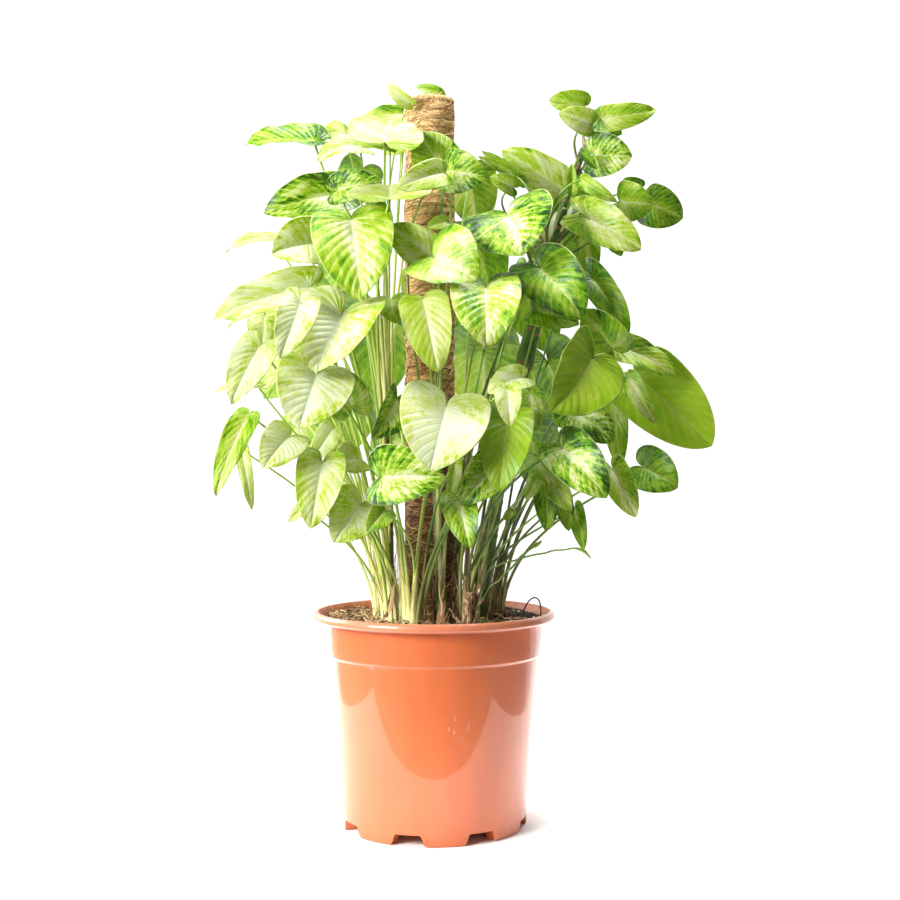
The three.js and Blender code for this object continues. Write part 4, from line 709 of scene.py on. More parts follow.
def add_blade(skin, leaf, rng):
    """A blade: the middle surface, quilted between its side veins by the root of a raised cosine
    and waved along its margin by sines, with a face to either side that meet at the margin; the
    midrib is a bell-shaped groove on top, and a bell-shaped ridge underneath."""
    grade = leaf.grade()
    s = np.linspace(0, 1, ROWS[grade] + 1)[:, None]
    share = np.array(COLUMNS[grade])
    v = np.concatenate([-share[:0:-1], share])[None, :]
    s, v = np.broadcast_arrays(s, v)
    side = np.abs(v)
    u, q = leaf.spread(s, v)
    phase = VEINS * (s - VEIN_SWEEP * side**2)
    quilt = (0.5 - 0.5 * np.cos(2 * np.pi * phase)) ** 0.5
    scale = min(leaf.length, leaf.width) / FULL_BLADE
    lift = QUILT * scale * quilt * rise(side, 0, 0.3) * (1 - rise(side, 0.6, 1))
    turns = 2 * np.pi * (rng.uniform(*WAVES) * s + rng.uniform())
    lift += WAVE * leaf.length * np.sin(turns + 1.5 * np.sign(v)) * side**2.5 * rise(s, 0, 0.2)
    lift += RIPPLE * leaf.length * np.sin(2.3 * turns) * side**3 * (1 - rise(s, 0.85, 1))
    lift += TWIST * leaf.length * rng.uniform(-1, 1) * v * np.clip(u, 0, 1)
    lift -= DROOP * leaf.length * np.clip((u - 0.75) / 0.25, 0, 1) ** 2
    lift *= rise(s, 0, 0.04)
    for strength in TRIED:
        middle = leaf.at(s, v, strength * lift, BLADE_TRIM * leaf.half)
        if (middle > LOWEST + BOX_MARGIN).all() and (middle < HIGHEST - BOX_MARGIN).all():
            break
    to_end = np.minimum(np.linalg.norm(middle - leaf.base, axis=-1),
                        np.linalg.norm(middle - middle[-1, :1], axis=-1))
    full = np.clip(to_end / BLADE_END, 0, 1)
    body = BLADE_THICKNESS / 2 * (1 - side**6) * full
    width = side * np.abs(q) * leaf.half / np.maximum(side, 0.02)
    rib = full * (1 - side**2)
    groove = GROOVE * hump(width, 0, GROOVE_WIDTH) * rib
    ridge = (RIDGE * (1 - u) + RIDGE_AT_TIP) * scale**0.5 * hump(width, 0, RIDGE_WIDTH) * rib
    kind = (TONE_PLACE[leaf.tone] + rng.uniform(-TONE_STRAY, TONE_STRAY), rng.uniform())
    upper = middle + (body - groove)[..., None] * leaf.face
    lower = middle - (body + ridge)[..., None] * leaf.face
    across = v[0] / 2 + 0.5
    skin.grid(upper, None, across, LEAF_TOP, kind, flip=True)
    skin.grid(lower, None, across, LEAF_UNDER, kind)


PETIOLE_POINTS = 26
PETIOLE_SUNK = ((0.45, 15), (0.2, 7))    # of its first points: share of the way in, and depth
PETIOLE_END = (2.5, 0.6)                 # how far its end runs on along the blade and under it
PETIOLE_SIZES = (0.72, 0.88, 1.0)        # by the blade's grade
PETIOLE_RADIUS, PETIOLE_THINNING, SWELLING = 1.95, 0.8, 0.35
SHEATH = 0.34                            # share of a petiole that is its sheathing foot
FLARE_ON_CANE, FLARE_ON_CROWN = 0.2, 1.3      # how much broader that foot becomes
END_RADIUS = 0.5                         # of a tube's last ring, as a share
# How old a petiole looks in the middle, a painted shade that darkens it to the right, and its
# stray.
AGE, SHADE_TO_RIGHT, AGE_STRAY = 0.34, 0.008, 0.7


def add_petiole(skin, leaf, rng):
    """A petiole: a tube of shrinking radius that is broad and flat at its foot, where it sheathes
    the stem, and a little swollen under the blade."""
    line = leaf.petiole(*leaf.swing, PETIOLE_POINTS)
    root = line[0]
    _, crown, cane, _ = STEMS[leaf.stem]
    end = leaf.base + leaf.along * PETIOLE_END[0] - leaf.face * PETIOLE_END[1]
    line = np.concatenate([line, [end]])
    if not cane:
        inward = np.array([crown[0] - root[0], crown[1] - root[1], 0])
        line = np.concatenate([[root + inward * share - UP * depth
                                for share, depth in PETIOLE_SUNK], line])
    t = np.linspace(0, 1, len(line))
    radius = PETIOLE_SIZES[leaf.grade()] * (PETIOLE_RADIUS - PETIOLE_THINNING * t
                                            + SWELLING * hump(t, 0.95, 0.03))
    radius[-1] *= END_RADIUS
    foot = np.clip(1 - t / SHEATH, 0, 1)
    flat = 1 + (FLARE_ON_CANE if cane else FLARE_ON_CROWN) * foot**1.3
    side = np.cross(UP, leaf.base - root + (0, 0.01, 0))      # not nothing where it is upright
    # painted shade: petioles further to the right are pushed towards the darker, old colours
    age_and_shade = np.clip(AGE + SHADE_TO_RIGHT * root[0] + rng.uniform(-AGE_STRAY, AGE_STRAY), 0, 1)
    skin.tubes(line, radius, 10, side, PETIOLE, (age_and_shade, rng.uniform()), flat)


CANE_SUNK = 14             # how far a cane goes into the soil
CANE_STEP, CANE_EASE = 3, 9      # between its points, and how many to each side ease its bends
CANE_RING, CANE_WAIST = 0.17, 0.05      # it is this much thicker at a ring, and thinner beside it


def add_cane(skin, crown, cane, rng):
    """A jointed cane: a tube through the cane's points with its corners eased, swollen at the
    rings where leaves have been."""
    corners = np.array([(*crown, SOIL_TOP - CANE_SUNK), (*crown, SOIL_TOP), *cane], float)
    corners[-1, 2] += CANE_END
    line, at = smoothed(corners, CANE_EASE, step=CANE_STEP)
    ring = np.abs((at / NODE_SPACING) % 1 - 0.5) * 2
    radius = CANE_RADIUS - CANE_TAPER * at / at[-1]
    radius *= 1 + CANE_RING * rise(ring, 0.84, 1) - CANE_WAIST * rise(ring, 0.5, 0.8)
    radius[-1] *= END_RADIUS
    skin.tubes(line, radius, 16, np.array([1.0, 0.2, 0]), CANE, rng.uniform(size=2),
               per=NODE_SPACING)


REMAINS = 16               # on each crown
REMAIN_TURN = 1            # radians, how far they wind to either side
REMAIN_OUT, REMAIN_CURL = 8, 14
REMAIN_SUNK, REMAIN_HEIGHT = 3, 85
REMAIN_RADIUS = 0.5
REMAIN_WIDTHS = [1, 1.5, 4, 6]      # how much broader than thick: strings, and strips of sheath


def add_remains(skin, crown, rng):
    """Dry remains round a crown: strings of root and flat strips of old sheath that rise beside
    the petioles and curl outwards, along the square of their height."""
    share = np.linspace(0, 1, 10)
    turn = (rng.uniform(0, 2 * np.pi, (REMAINS, 1))
            + rng.uniform(-REMAIN_TURN, REMAIN_TURN, (REMAINS, 1)) * share)
    out = REMAIN_OUT + rng.uniform(0, REMAIN_CURL, (REMAINS, 1)) * share**2
    high = (SOIL_TOP - REMAIN_SUNK
            + REMAIN_HEIGHT * rng.uniform(0.35, 1, (REMAINS, 1)) ** 2 * share)
    path = around(out, turn, high, crown)
    path += 1.1 * kinks(path, 15, rng)
    side = np.stack([-np.sin(turn), np.cos(turn), 0 * turn], -1)
    flat = rng.choice(REMAIN_WIDTHS, (REMAINS, 1)) * np.sin(np.pi * (0.25 + 0.7 * share))
    skin.tubes(path, REMAIN_RADIUS * (1.1 - 0.6 * share), 6, side, DRY,
               rng.uniform(0, 1, (REMAINS, 2)), flat)


CROWN_DOME = (CROWN_RADIUS - 2.5, CROWN_RADIUS - 2.5, 17)      # half its sizes
CROWN_SUNK = 7             # how far its middle lies under the soil's top


def add_crown(skin, crown, rng):
    """The crown of a cutting: a lumpy ellipsoid that stands out of the soil."""
    phi = np.linspace(0, np.pi, 19)[:, None]
    ball = around(np.sin(phi), circle(28), np.cos(phi))
    lumps = 1 + 0.09 * rough(ball, 0.7, int(rng.integers(1000)))
    points = ball * lumps[..., None] * CROWN_DOME + (*crown, SOIL_TOP - CROWN_SUNK)
    skin.grid(points[::-1], phi[:, 0], slot=CROWN, wrap=True)


RUNNER_POINTS, RUNNER_EASE = 44, 3
RUNNER_ROOT = (2, 8)       # how high above the soil it leaves the crown
RUNNER_THINNING = (1.0, 0.7)
BUD = (1.3, 0.93, 0.035)   # how much thicker its bud is, and where and how long on the runner


def add_runner(skin, crown, radius, points, rng):
    """A thin runner through its drawn points, in one smooth curve."""
    corners = np.array([(*crown, SOIL_TOP + high) for high in RUNNER_ROOT]
                       + [tuple(sight(x, z, y)) for x, z, y in points])
    line, _ = smoothed(corners, RUNNER_EASE, RUNNER_POINTS)
    line += 0.5 * kinks(line, 14, rng)
    bud = 1 + BUD[0] * hump(np.linspace(0, 1, RUNNER_POINTS), *BUD[1:])
    skin.tubes(line, radius * np.linspace(*RUNNER_THINNING, RUNNER_POINTS) * bud, 7,
               np.array([0, 1.0, 0]), PETIOLE, (0.9, rng.uniform()))


def make_stems(finishes):
    """Every leafy stem, as one piece each: crown, cane, petioles, blades and runners."""
    leaves = [Leaf(row) for row in LEAVES]
    settle(leaves)
    place_roots(leaves)
    route(leaves)
    for number, (stem, (name, crown, cane, _)) in enumerate(STEMS.items()):
        rng = np.random.default_rng(STEM_SEED + number)
        skin = Skin()
        add_crown(skin, crown, rng)
        add_remains(skin, crown, rng)
        if cane:
            add_cane(skin, crown, cane, rng)
        for leaf in leaves:
            if leaf.stem == stem:
                add_petiole(skin, leaf, rng)
                add_blade(skin, leaf, rng)
        for owner, radius, points in RUNNERS:
            if owner == stem:
                add_runner(skin, crown, radius, points, rng)
        skin.build(f"leafy_{name}", finishes, "leaf", f"stem_{name}")


# ------------------------------------------------------------------ pot, soil, pole and stump

FLOOR_TOP = FOOT_HEIGHT + FLOOR_THICKNESS
FOOT_FROM = 1.2            # the height at which the wall's taper starts
TAPER = (STEP_RADIUS - FOOT_RADIUS) / (STEP_HEIGHT - FOOT_FROM)
OUTSIDE = (    # radius, height and rounding of each corner, from the floor's underside to the rim
    (0, FOOT_HEIGHT, 0),
    (FOOT_RADIUS - FOOT_RING, FOOT_HEIGHT, 0),
    (FOOT_RADIUS - FOOT_RING, 0, 0),
    (FOOT_RADIUS - 1, 0, 0),
    (FOOT_RADIUS + 0.1, FOOT_FROM, 0.6),
    (STEP_RADIUS, STEP_HEIGHT - 0.7, 0.6),
    (BAND_RADIUS, STEP_HEIGHT + 1.5, 0.8),
    (NECK_RADIUS, POT_HEIGHT - 8.5, 2.2),
    (RIM_RADIUS - 2, POT_HEIGHT - 8.5, 1.4),
    (RIM_RADIUS, POT_HEIGHT - 6.5, 1),
    (RIM_RADIUS - 0.3, POT_HEIGHT - 2.5, 1.8),
    (RIM_RADIUS - 3, POT_HEIGHT, 1.6),
    (RIM_RADIUS - 4.8, POT_HEIGHT - 0.15, 0),
)
INSIDE = (     # and on from the rim to the middle of the floor
    (RIM_RADIUS - 4.8, POT_HEIGHT - 0.15, 0),
    (RIM_RADIUS - 6.5, POT_HEIGHT - 0.3, 1.6),
    (RIM_RADIUS - 9.5, POT_HEIGHT - 3.5, 1.5),
    (NECK_RADIUS - WALL, POT_HEIGHT - 12, 2),
    (BAND_RADIUS - WALL, STEP_HEIGHT + 1.5, 1),
    (STEP_RADIUS - WALL, STEP_HEIGHT - 1.5, 1),
    (FOOT_RADIUS - WALL - 1, FLOOR_TOP, 1.5),
    (0, FLOOR_TOP, 0),
)
EASING_POINTS = 5          # on the curve at each rounded corner
WALL_STEP = 8              # between rings of points up the wall
ROUND_STEP = 1.5           # degrees between the points of a ring
NOTCH_SHAPE = (    # degrees from the middle of a notch, and how far it is cut up there
    (NOTCH_TOP / 2 - 0.9, 1.0), (NOTCH_TOP / 2 - 0.2, 0.96), (NOTCH_TOP / 2 + 0.3, 0.84),
    (NOTCH_FOOT / 2 - 0.6, 0.24), (NOTCH_FOOT / 2, 0.1), (NOTCH_FOOT / 2 + 0.9, 0.0),
)
DRILLED = (6, 18)          # from under the floor to above it


def eased(corners):
    """A line through corners (r, z, rounding), with each corner eased into a short curve."""
    points = []
    for k, (r, z, rounding) in enumerate(corners):
        here = np.array([r, z], float)
        if not rounding:
            points.append(here)
            continue
        before, after = (np.array(corners[k + way][:2], float) - here for way in (-1, 1))
        first, last = (here + unit(to) * min(rounding, np.linalg.norm(to) / 2.2)
                       for to in (before, after))
        share = np.linspace(0, 1, EASING_POINTS)[:, None]
        points += list(first * (1 - share) ** 2 + 2 * here * share * (1 - share) + last * share**2)
    return np.array(points)


def between(points, step):
    """The same line with more points, at most `step` apart."""
    result = [points[0]]
    for a, b in zip(points, points[1:]):
        count = max(1, math.ceil(np.linalg.norm(b - a) / step))
        result += [a + (b - a) * k / count for k in range(1, count + 1)]
    return np.array(result)


def around_notches():
    """Degrees round the pot, close enough for a smooth rim and with every corner of a notch."""
    plain = np.arange(0, 360, ROUND_STEP)
    middle = np.arange(NOTCHES) * 360 / NOTCHES + NOTCH_FIRST - 90
    corners = [middle + side * edge for side in (-1, 1) for edge, _ in NOTCH_SHAPE]
    return np.unique(np.round(np.concatenate([plain, *corners]) % 360, 3)), middle


def make_pot(gloss, dusty):
    """Surfaces of revolution: the outside, whose foot is cut up to the floor in each notch while
    its outer wall keeps its taper, and the inside, from the rim down to the floor."""
    degrees, notches = around_notches()
    off = np.abs((degrees[:, None] - notches + 180) % 360 - 180).min(1)
    cut = np.interp(off, *zip(*NOTCH_SHAPE)) * FOOT_HEIGHT
    skin = Skin()
    for slot, corners in enumerate((OUTSIDE, INSIDE)):
        profile = between(eased(corners), WALL_STEP)
        r, z = profile[:, :1], profile[:, 1:]
        foot = z < FOOT_HEIGHT
        height = np.where(foot, np.maximum(z, cut), z)
        outer = foot & (r > FOOT_RADIUS - 1.5)
        wall = FOOT_RADIUS + height * TAPER
        radius = np.where(outer, np.minimum(wall, r + (height - z)), r)
        skin.grid(around(radius, np.radians(degrees), height), slot=slot, wrap=True)
    drill(skin.build("moulded_pot", [gloss, dusty], "pot", "pot", sharp=40))


def drill(pot):
    """Cuts the drain holes through the floor of the pot."""
    skin = Skin()
    for turn in circle(DRAIN_HOLES) + np.pi / DRAIN_HOLES:
        place = around(DRAIN_RING, turn)
        skin.tubes(np.array([place + UP * z for z in DRILLED]), DRAIN_RADIUS, 24, np.eye(3)[0])
    cutter = placed("drills", skin.mesh("drills"))
    cut = pot.modifiers.new("holes", "BOOLEAN")
    cut.object = cutter
    cut.solver = "EXACT"
    shaped = pot.evaluated_get(bpy.context.evaluated_depsgraph_get())
    mesh = bpy.data.meshes.new_from_object(shaped)
    pot.modifiers.clear()
    pot.data = mesh
    bpy.data.objects.remove(cutter)


SOIL_RADIUS = NECK_RADIUS - WALL - 0.9
SOIL_SIDES = (     # radius and height, from the middle of the pot's floor up its wall
    (0, FLOOR_TOP + 0.7),
    (FOOT_RADIUS - WALL - 1.7, FLOOR_TOP + 0.7),
    (STEP_RADIUS - WALL - 0.6, STEP_HEIGHT - 2.5),
    (BAND_RADIUS - WALL - 0.6, STEP_HEIGHT + 1),
)
# Layers of roughness: height, size, seed and number of waves.
SOIL_MOUNDS = ((0.9, 60, 5), (0.5, 21, 6))
SOIL_LUMPS = ((0.7, 7, 7, 40), (0.35, 3, 8, 40))
MOUND_LIMIT = 1.4
SOIL_LIFT = 0.8            # how far the soil's top lies above the plain one of the solids
SOIL_EDGE, EDGE_FROM, EDGE_TO = 5.5, 50, 98     # it rises by this towards the wall, between these
SOIL_ROUND, SOIL_RINGS = 180, 76


def soil_height(x, y):
    """The lie of the soil: low mounds, and a smooth rise towards the wall."""
    mounds = layered(np.stack(np.broadcast_arrays(x, y), -1), SOIL_MOUNDS)
    return (SOIL_TOP + SOIL_LIFT + np.clip(mounds, -MOUND_LIMIT, MOUND_LIMIT)
            + SOIL_EDGE * rise(np.hypot(x, y), EDGE_FROM, EDGE_TO))


def make_soil(mix):
    """Potting mix: a solid of revolution with a rough, lumpy top."""
    theta = circle(SOIL_ROUND)
    r = np.linspace(SOIL_RADIUS, 0, SOIL_RINGS)[:, None]
    place = around(r, theta)[..., :2]
    lumps = layered(place, SOIL_LUMPS) * rise(SOIL_RADIUS - r, 0, 6)
    top = around(r, theta, soil_height(place[..., 0], place[..., 1]) + lumps)
    low = np.array(SOIL_SIDES, float)
    skin = Skin()
    skin.grid(np.concatenate([around(low[:, :1], theta, low[:, 1:]), top]), wrap=True)
    skin.build("potting_mix", [mix], "soil", "soil")


LITTER_RADIUS = 104
GOLDEN = (1 + math.sqrt(5)) / 2


def clear_spots(rng, count, margin):
    """Random places (x, y) on the soil inside the rim, outside the pole and crowns."""
    spots = rng.uniform(-LITTER_RADIUS, LITTER_RADIUS, (count * 3, 2))
    keep = np.hypot(*spots.T) < LITTER_RADIUS - margin
    keep &= from_pole(spots) > POLE_RADIUS + margin
    for _, crown, _, _ in STEMS.values():
        keep &= np.hypot(spots[:, 0] - crown[0], spots[:, 1] - crown[1]) > CROWN_RADIUS - 4
    return spots[keep][:count]


def icosahedron():
    """The twelve corners of an icosahedron, of radius 1, and its twenty faces: the triples of
    corners that all lie next to each other."""
    ends = [(a, b * GOLDEN) for a in (-1, 1) for b in (-1, 1)]
    corners = unit(np.array([(0, a, b) for a, b in ends] + [(a, b, 0) for a, b in ends]
                            + [(b, 0, a) for a, b in ends], float))
    gaps = np.linalg.norm(corners[:, None] - corners, axis=-1)
    hull = [(i, j, k) for i in range(12) for j in range(i + 1, 12) for k in range(j + 1, 12)
            if max(gaps[i, j], gaps[j, k], gaps[i, k]) < 1.1]
    return corners, np.array([f if np.linalg.det(corners[list(f)]) > 0 else f[::-1]
                              for f in hull])


def scatter(skin, rng, count, sizes, shape, sunk=0.3):
    """Scatters lumpy pebbles on the soil: icosahedra with moved corners, sized between `sizes`,
    stretched by `shape`, turned any way and sunk by a share of their height. They are painted
    darker towards the right, a painted shade."""
    corners, faces = icosahedron()
    spots = clear_spots(rng, count, sizes[1] / 2)
    n = len(spots)
    size = sizes[0] + (sizes[1] - sizes[0]) * rng.uniform(size=n) ** 2
    lumps = corners * rng.uniform(0.72, 1.12, (n, 12, 1)) * shape * size[:, None, None] / 2
    spin, tilt = rng.uniform(0, 2 * np.pi, (n, 1)), rng.uniform(-0.5, 0.5, (n, 1))
    x, y, z = np.moveaxis(lumps, -1, 0)
    turned = np.stack([x * np.cos(spin) - y * np.sin(spin), x * np.sin(spin) + y * np.cos(spin),
                       z + x * np.sin(tilt)], -1)
    lift = soil_height(*spots.T) + size * shape[2] * (0.5 - sunk)
    places = np.concatenate([spots, lift[:, None]], 1)[:, None]
    index = faces[None] + 12 * np.arange(n)[:, None, None]
    tint = np.repeat(rng.uniform(size=(n, 1, 1)), 2, -1)
    # painted shade: pebbles towards the right are darker
    tint *= 1 - 0.6 * rise(spots[:, :1, None], -20, 45)
    kind = np.broadcast_to(tint[:, None], (n, len(faces), 3, 2)).reshape(-1, 2)
    skin.add((turned + places).reshape(-1, 3), index.reshape(-1, 3), kind.copy(), kind, 0)


CRUMB, STRAW = range(2)              # the finishes of the litter
NEARLY_UP = np.array([0.1, 0, 1.0])      # but never just along a tube that lies or arches


def kept_inside(path, margin):
    """Draws in what would lie beyond the soil's edge, to `margin` inside it."""
    reach = np.maximum(np.hypot(path[..., 0], path[..., 1]), 1)
    path[..., :2] *= np.minimum(1, (SOIL_RADIUS - margin) / reach)[..., None]


def straws(skin, rng, spots, lengths, radius, lift):
    """Dry fibres lying on the soil: thin tubes along parabolas, with one end lifted."""
    n = len(spots)
    share = np.linspace(-0.5, 0.5, 7)
    turn = rng.uniform(0, 2 * np.pi, (n, 1))
    length = rng.uniform(*lengths, (n, 1))
    bend = rng.uniform(-0.35, 0.35, (n, 1))
    x = length * share
    y = bend * length * (0.25 - share**2) * 2
    line = np.stack([spots[:, :1] + x * np.cos(turn) - y * np.sin(turn),
                     spots[:, 1:] + x * np.sin(turn) + y * np.cos(turn)], -1)
    kept_inside(line, 2)
    high = soil_height(line[..., 0], line[..., 1]) + rng.uniform(0.3, 2.2, (n, 1))
    high += lift * rng.uniform(size=(n, 1)) * (share * rng.choice([-1, 1], (n, 1)) + 0.5) ** 2
    path = np.concatenate([line, high[..., None]], -1)
    skin.tubes(path, radius * rng.uniform(0.6, 1.3, (n, 1)), 4, NEARLY_UP, STRAW,
               rng.uniform(size=(2, n)).T)


def arched_roots(skin, rng, crown, count):
    """Roots that leave a crown above the soil: each an arch of half a sine wave with a few kinks,
    thinner towards the end that goes into the soil."""
    share = np.linspace(0, 1, 12)
    turn = rng.uniform(0, 2 * np.pi, (count, 1))
    bend = turn + rng.uniform(-0.9, 0.9, (count, 1)) * share
    reach = 7 + rng.uniform(9, 22, (count, 1)) * share
    high = SOIL_TOP - 1.5 + 7 * (1 - share) + rng.uniform(3, 15, (count, 1)) * np.sin(np.pi * share)
    path = around(reach, bend, high, crown)
    path += 0.7 * kinks(path, 9, rng)
    kept_inside(path, 3)
    radius = rng.uniform(0.4, 0.85, (count, 1)) * (1.2 - 0.6 * share)
    skin.tubes(path, radius, 6, NEARLY_UP, STRAW, rng.uniform(0.1, 0.75, (count, 2)))


CRUMBS = (1500, (1.2, 4.2), (1, 0.85, 0.75))      # how many, how large and of what shape
CHIPS = (260, (3.5, 9.5), (1.3, 0.6, 0.35))
PERLITE = (70, (1.6, 3.6), (1, 0.9, 0.85))
# Straws, and more of them at the left front: how many are tried, how long and how thick they are,
# and how far their ends are lifted.
STRAWS = (420, (8, 30), 0.38, 4)
LEFT_STRAWS = (700, (10, 26), 0.42, 7)
STRAW_REACH = 110            # straws get rarer from the left to here
LEFT_FRONT = (-30, 30)       # less than this x and y
ROOTS = 8                    # on each crown
ROOT_LOOP = ((84, -40, 196), (86, -38, 236), (112, -34, 238), (102, -32, 198))    # over the rim


def make_litter(finishes, perlite):
    """Crumbs and bark chips, dry roots and straw-like fibres, and grains of perlite."""
    rng = np.random.default_rng(LITTER_SEED)
    skin = Skin()
    scatter(skin, rng, *CRUMBS)
    scatter(skin, rng, *CHIPS)
    spots = clear_spots(rng, STRAWS[0], 3)
    spots = spots[spots[:, 0] < STRAW_REACH * rng.uniform(size=len(spots)) ** 2]
    straws(skin, rng, spots, *STRAWS[1:])
    left = clear_spots(rng, LEFT_STRAWS[0], 3)
    left = left[(left < LEFT_FRONT).all(1)]
    straws(skin, rng, left, *LEFT_STRAWS[1:])
    for _, crown, _, _ in STEMS.values():
        arched_roots(skin, rng, crown, ROOTS)
    skin.tubes(cubic(ROOT_LOOP, np.linspace(0, 1, 24)), 0.7, 8, np.eye(3)[1], CRUMB, (0.1, 0.5))
    skin.build("soil_litter", finishes, "soil", "soil")
    grains = Skin()
    scatter(grains, rng, *PERLITE, sunk=0.15)
    grains.build("perlite_grains", [perlite], "perlite", "soil")


COIR_LUMPS = ((0.55, 26, 11), (0.3, 9, 12, 30))      # height, size, seed and number of waves
COIR_LIMIT = 0.9
COIR_SHORT = 0.7           # how far the mat lies inside the plain sleeve
THREAD_BITE = 0.9          # how far the thread draws it in
COIR_ROUND, COIR_RINGS = 150, 430
SHOULDER_DROP = 9          # the mat is drawn in from here to the pole's top
CAP_RINGS = (0.72, 0.5, 0.28, 0.0)      # of its closed top, as shares of its radius
THREAD_FOOT, THREAD_HEAD = 190, POLE_TOP - 12
THREAD_POINTS = 44         # in each turn
# How the thread strays: how far out and up, and by how many radians each wave takes for a radian.
THREAD_OUT, THREAD_WAVES = (0.15, 2.37), ((0.5, 0.61), (0.35, 1.83))
STRANDS = (2100, (14, 46), 0.9)      # how many, how long, and how far their ends may stand off
STRAYS = (90, (10, 26), 3.2)


def pole_shape(theta, z):
    """Radius of the coir: a rough mat, drawn in along the turns of its thread by the fourth power
    of a raised cosine."""
    turns = z / THREAD_PITCH - theta / (2 * np.pi)
    drawn = 0.5 + 0.5 * np.cos(2 * np.pi * turns)
    lumps = layered(around(POLE_RADIUS, theta, z), COIR_LUMPS)
    return (POLE_RADIUS - COIR_SHORT - THREAD_BITE * drawn**4
            + np.clip(lumps, -COIR_LIMIT, COIR_LIMIT))


def make_pole(mat, strand, thread):
    """The coir sleeve with a bore for its stake, its loose strands, and the thread round it."""
    pole = (POLE_X, 0)
    theta = circle(COIR_ROUND)
    z = np.linspace(POLE_FOOT, POLE_TOP - 3, COIR_RINGS)[:, None]
    drop = np.clip((z - POLE_TOP + SHOULDER_DROP) / 6, 0, 1)
    outer = pole_shape(theta, z) * np.clip(1.02 - 0.16 * drop**2, 0, 1)
    cap = np.array(CAP_RINGS)[:, None]
    cap_radius = outer[-1] * cap
    cap_z = (POLE_TOP - 1.4 - 1.6 * cap**4
             + 0.5 * rough(around(cap_radius, theta)[..., :2], 8, 14))
    outside = around(outer, theta, z, pole)
    lid = around(cap_radius, theta, cap_z, pole)
    bore = around(np.array([[0.0], [CORE_BORE], [CORE_BORE]]), theta,
                  np.array([[POLE_TOP - CAP_THICKNESS]] * 2 + [[POLE_FOOT]], float), pole)
    skin = Skin()
    skin.grid(np.concatenate([outside, lid]),
              np.concatenate([z[:, 0], np.full(len(cap), POLE_TOP)]), wrap=True)
    skin.grid(np.concatenate([bore, outside[:1]]), np.arange(4.0), wrap=True)
    skin.build("coir_sleeve", [mat], "coir", "pole_coir")
    rng = np.random.default_rng(COIR_SEED)
    loose = Skin()
    fibres(loose, rng, *STRANDS)
    fibres(loose, rng, *STRAYS)
    loose.build("coir_strands", [strand], "coir", "pole_coir")
    wound = Skin()
    turns = (THREAD_HEAD - THREAD_FOOT) / THREAD_PITCH
    angle = np.linspace(0, 2 * np.pi * turns, int(THREAD_POINTS * turns))
    height = THREAD_FOOT + angle / (2 * np.pi) * THREAD_PITCH
    radius = pole_shape(angle, height) + 0.35 + THREAD_OUT[0] * np.sin(angle * THREAD_OUT[1])
    height += sum(high * np.sin(angle * rate) for high, rate in THREAD_WAVES)
    wound.tubes(around(radius, angle, height, pole), THREAD_RADIUS, 5, UP, per=1.0)
    wound.build("binding_thread", [thread], "thread", "pole_coir")


FIBRE_FOOT = 195           # the lowest middle of a strand
FIBRE_SLOPE = (12, 34)     # degrees from level: the mean, and how much it varies
FIBRE_RADIUS = (0.18, 0.42)


def fibres(skin, rng, count, lengths, loose):
    """Coir strands on the sleeve, lying any way but mostly round it, some ends standing off."""
    share = np.linspace(-0.5, 0.5, 6)
    length = rng.uniform(*lengths, (count, 1))
    slope = np.radians(rng.normal(*FIBRE_SLOPE, (count, 1)))
    bend = rng.uniform(-0.5, 0.5, (count, 1))
    theta = rng.uniform(0, 2 * np.pi, (count, 1)) + length * share * np.cos(slope) / POLE_RADIUS
    z = rng.uniform(FIBRE_FOOT, POLE_TOP - 6, (count, 1))
    z = z + length * (share * np.sin(slope) + bend * share**2)
    z = np.clip(z, FIBRE_FOOT - 3, POLE_TOP - 1)
    off = 0.25 + loose * rng.uniform(size=(count, 1)) ** 2 * (2 * np.abs(share)) ** 2
    radius = pole_shape(theta, z) + off
    radius = np.where(z > POLE_TOP - 4, radius * 0.93, radius)
    skin.tubes(around(radius, theta, z, (POLE_X, 0)), rng.uniform(*FIBRE_RADIUS, (count, 1)), 4,
               np.array([0.03, 0.02, 1.0]), 0, rng.uniform(size=(2, count)).T)


# The dry husks round the stump: the turn of each in degrees, its height as a share of the
# stump's, how far its end curls out, and half its width.
HUSKS = (
    (205, 1.3, 4, 3.6), (255, 1.02, 8, 4.2), (308, 1.16, 2.5, 3.2), (350, 0.9, 11, 4.6),
    (30, 1.1, 7, 5), (228, 0.6, 14, 5), (325, 0.5, 16, 6), (180, 0.72, 15, 5),
)
HUSK_RADIUS = 0.55         # half its thickness
BARK, CUT = range(2)       # the finishes of the stump
STUMP_ROUND = 40
STUMP_RING = (0.08, 0.55, 0.03)      # an old joint: how thick, and where and how long on the stump


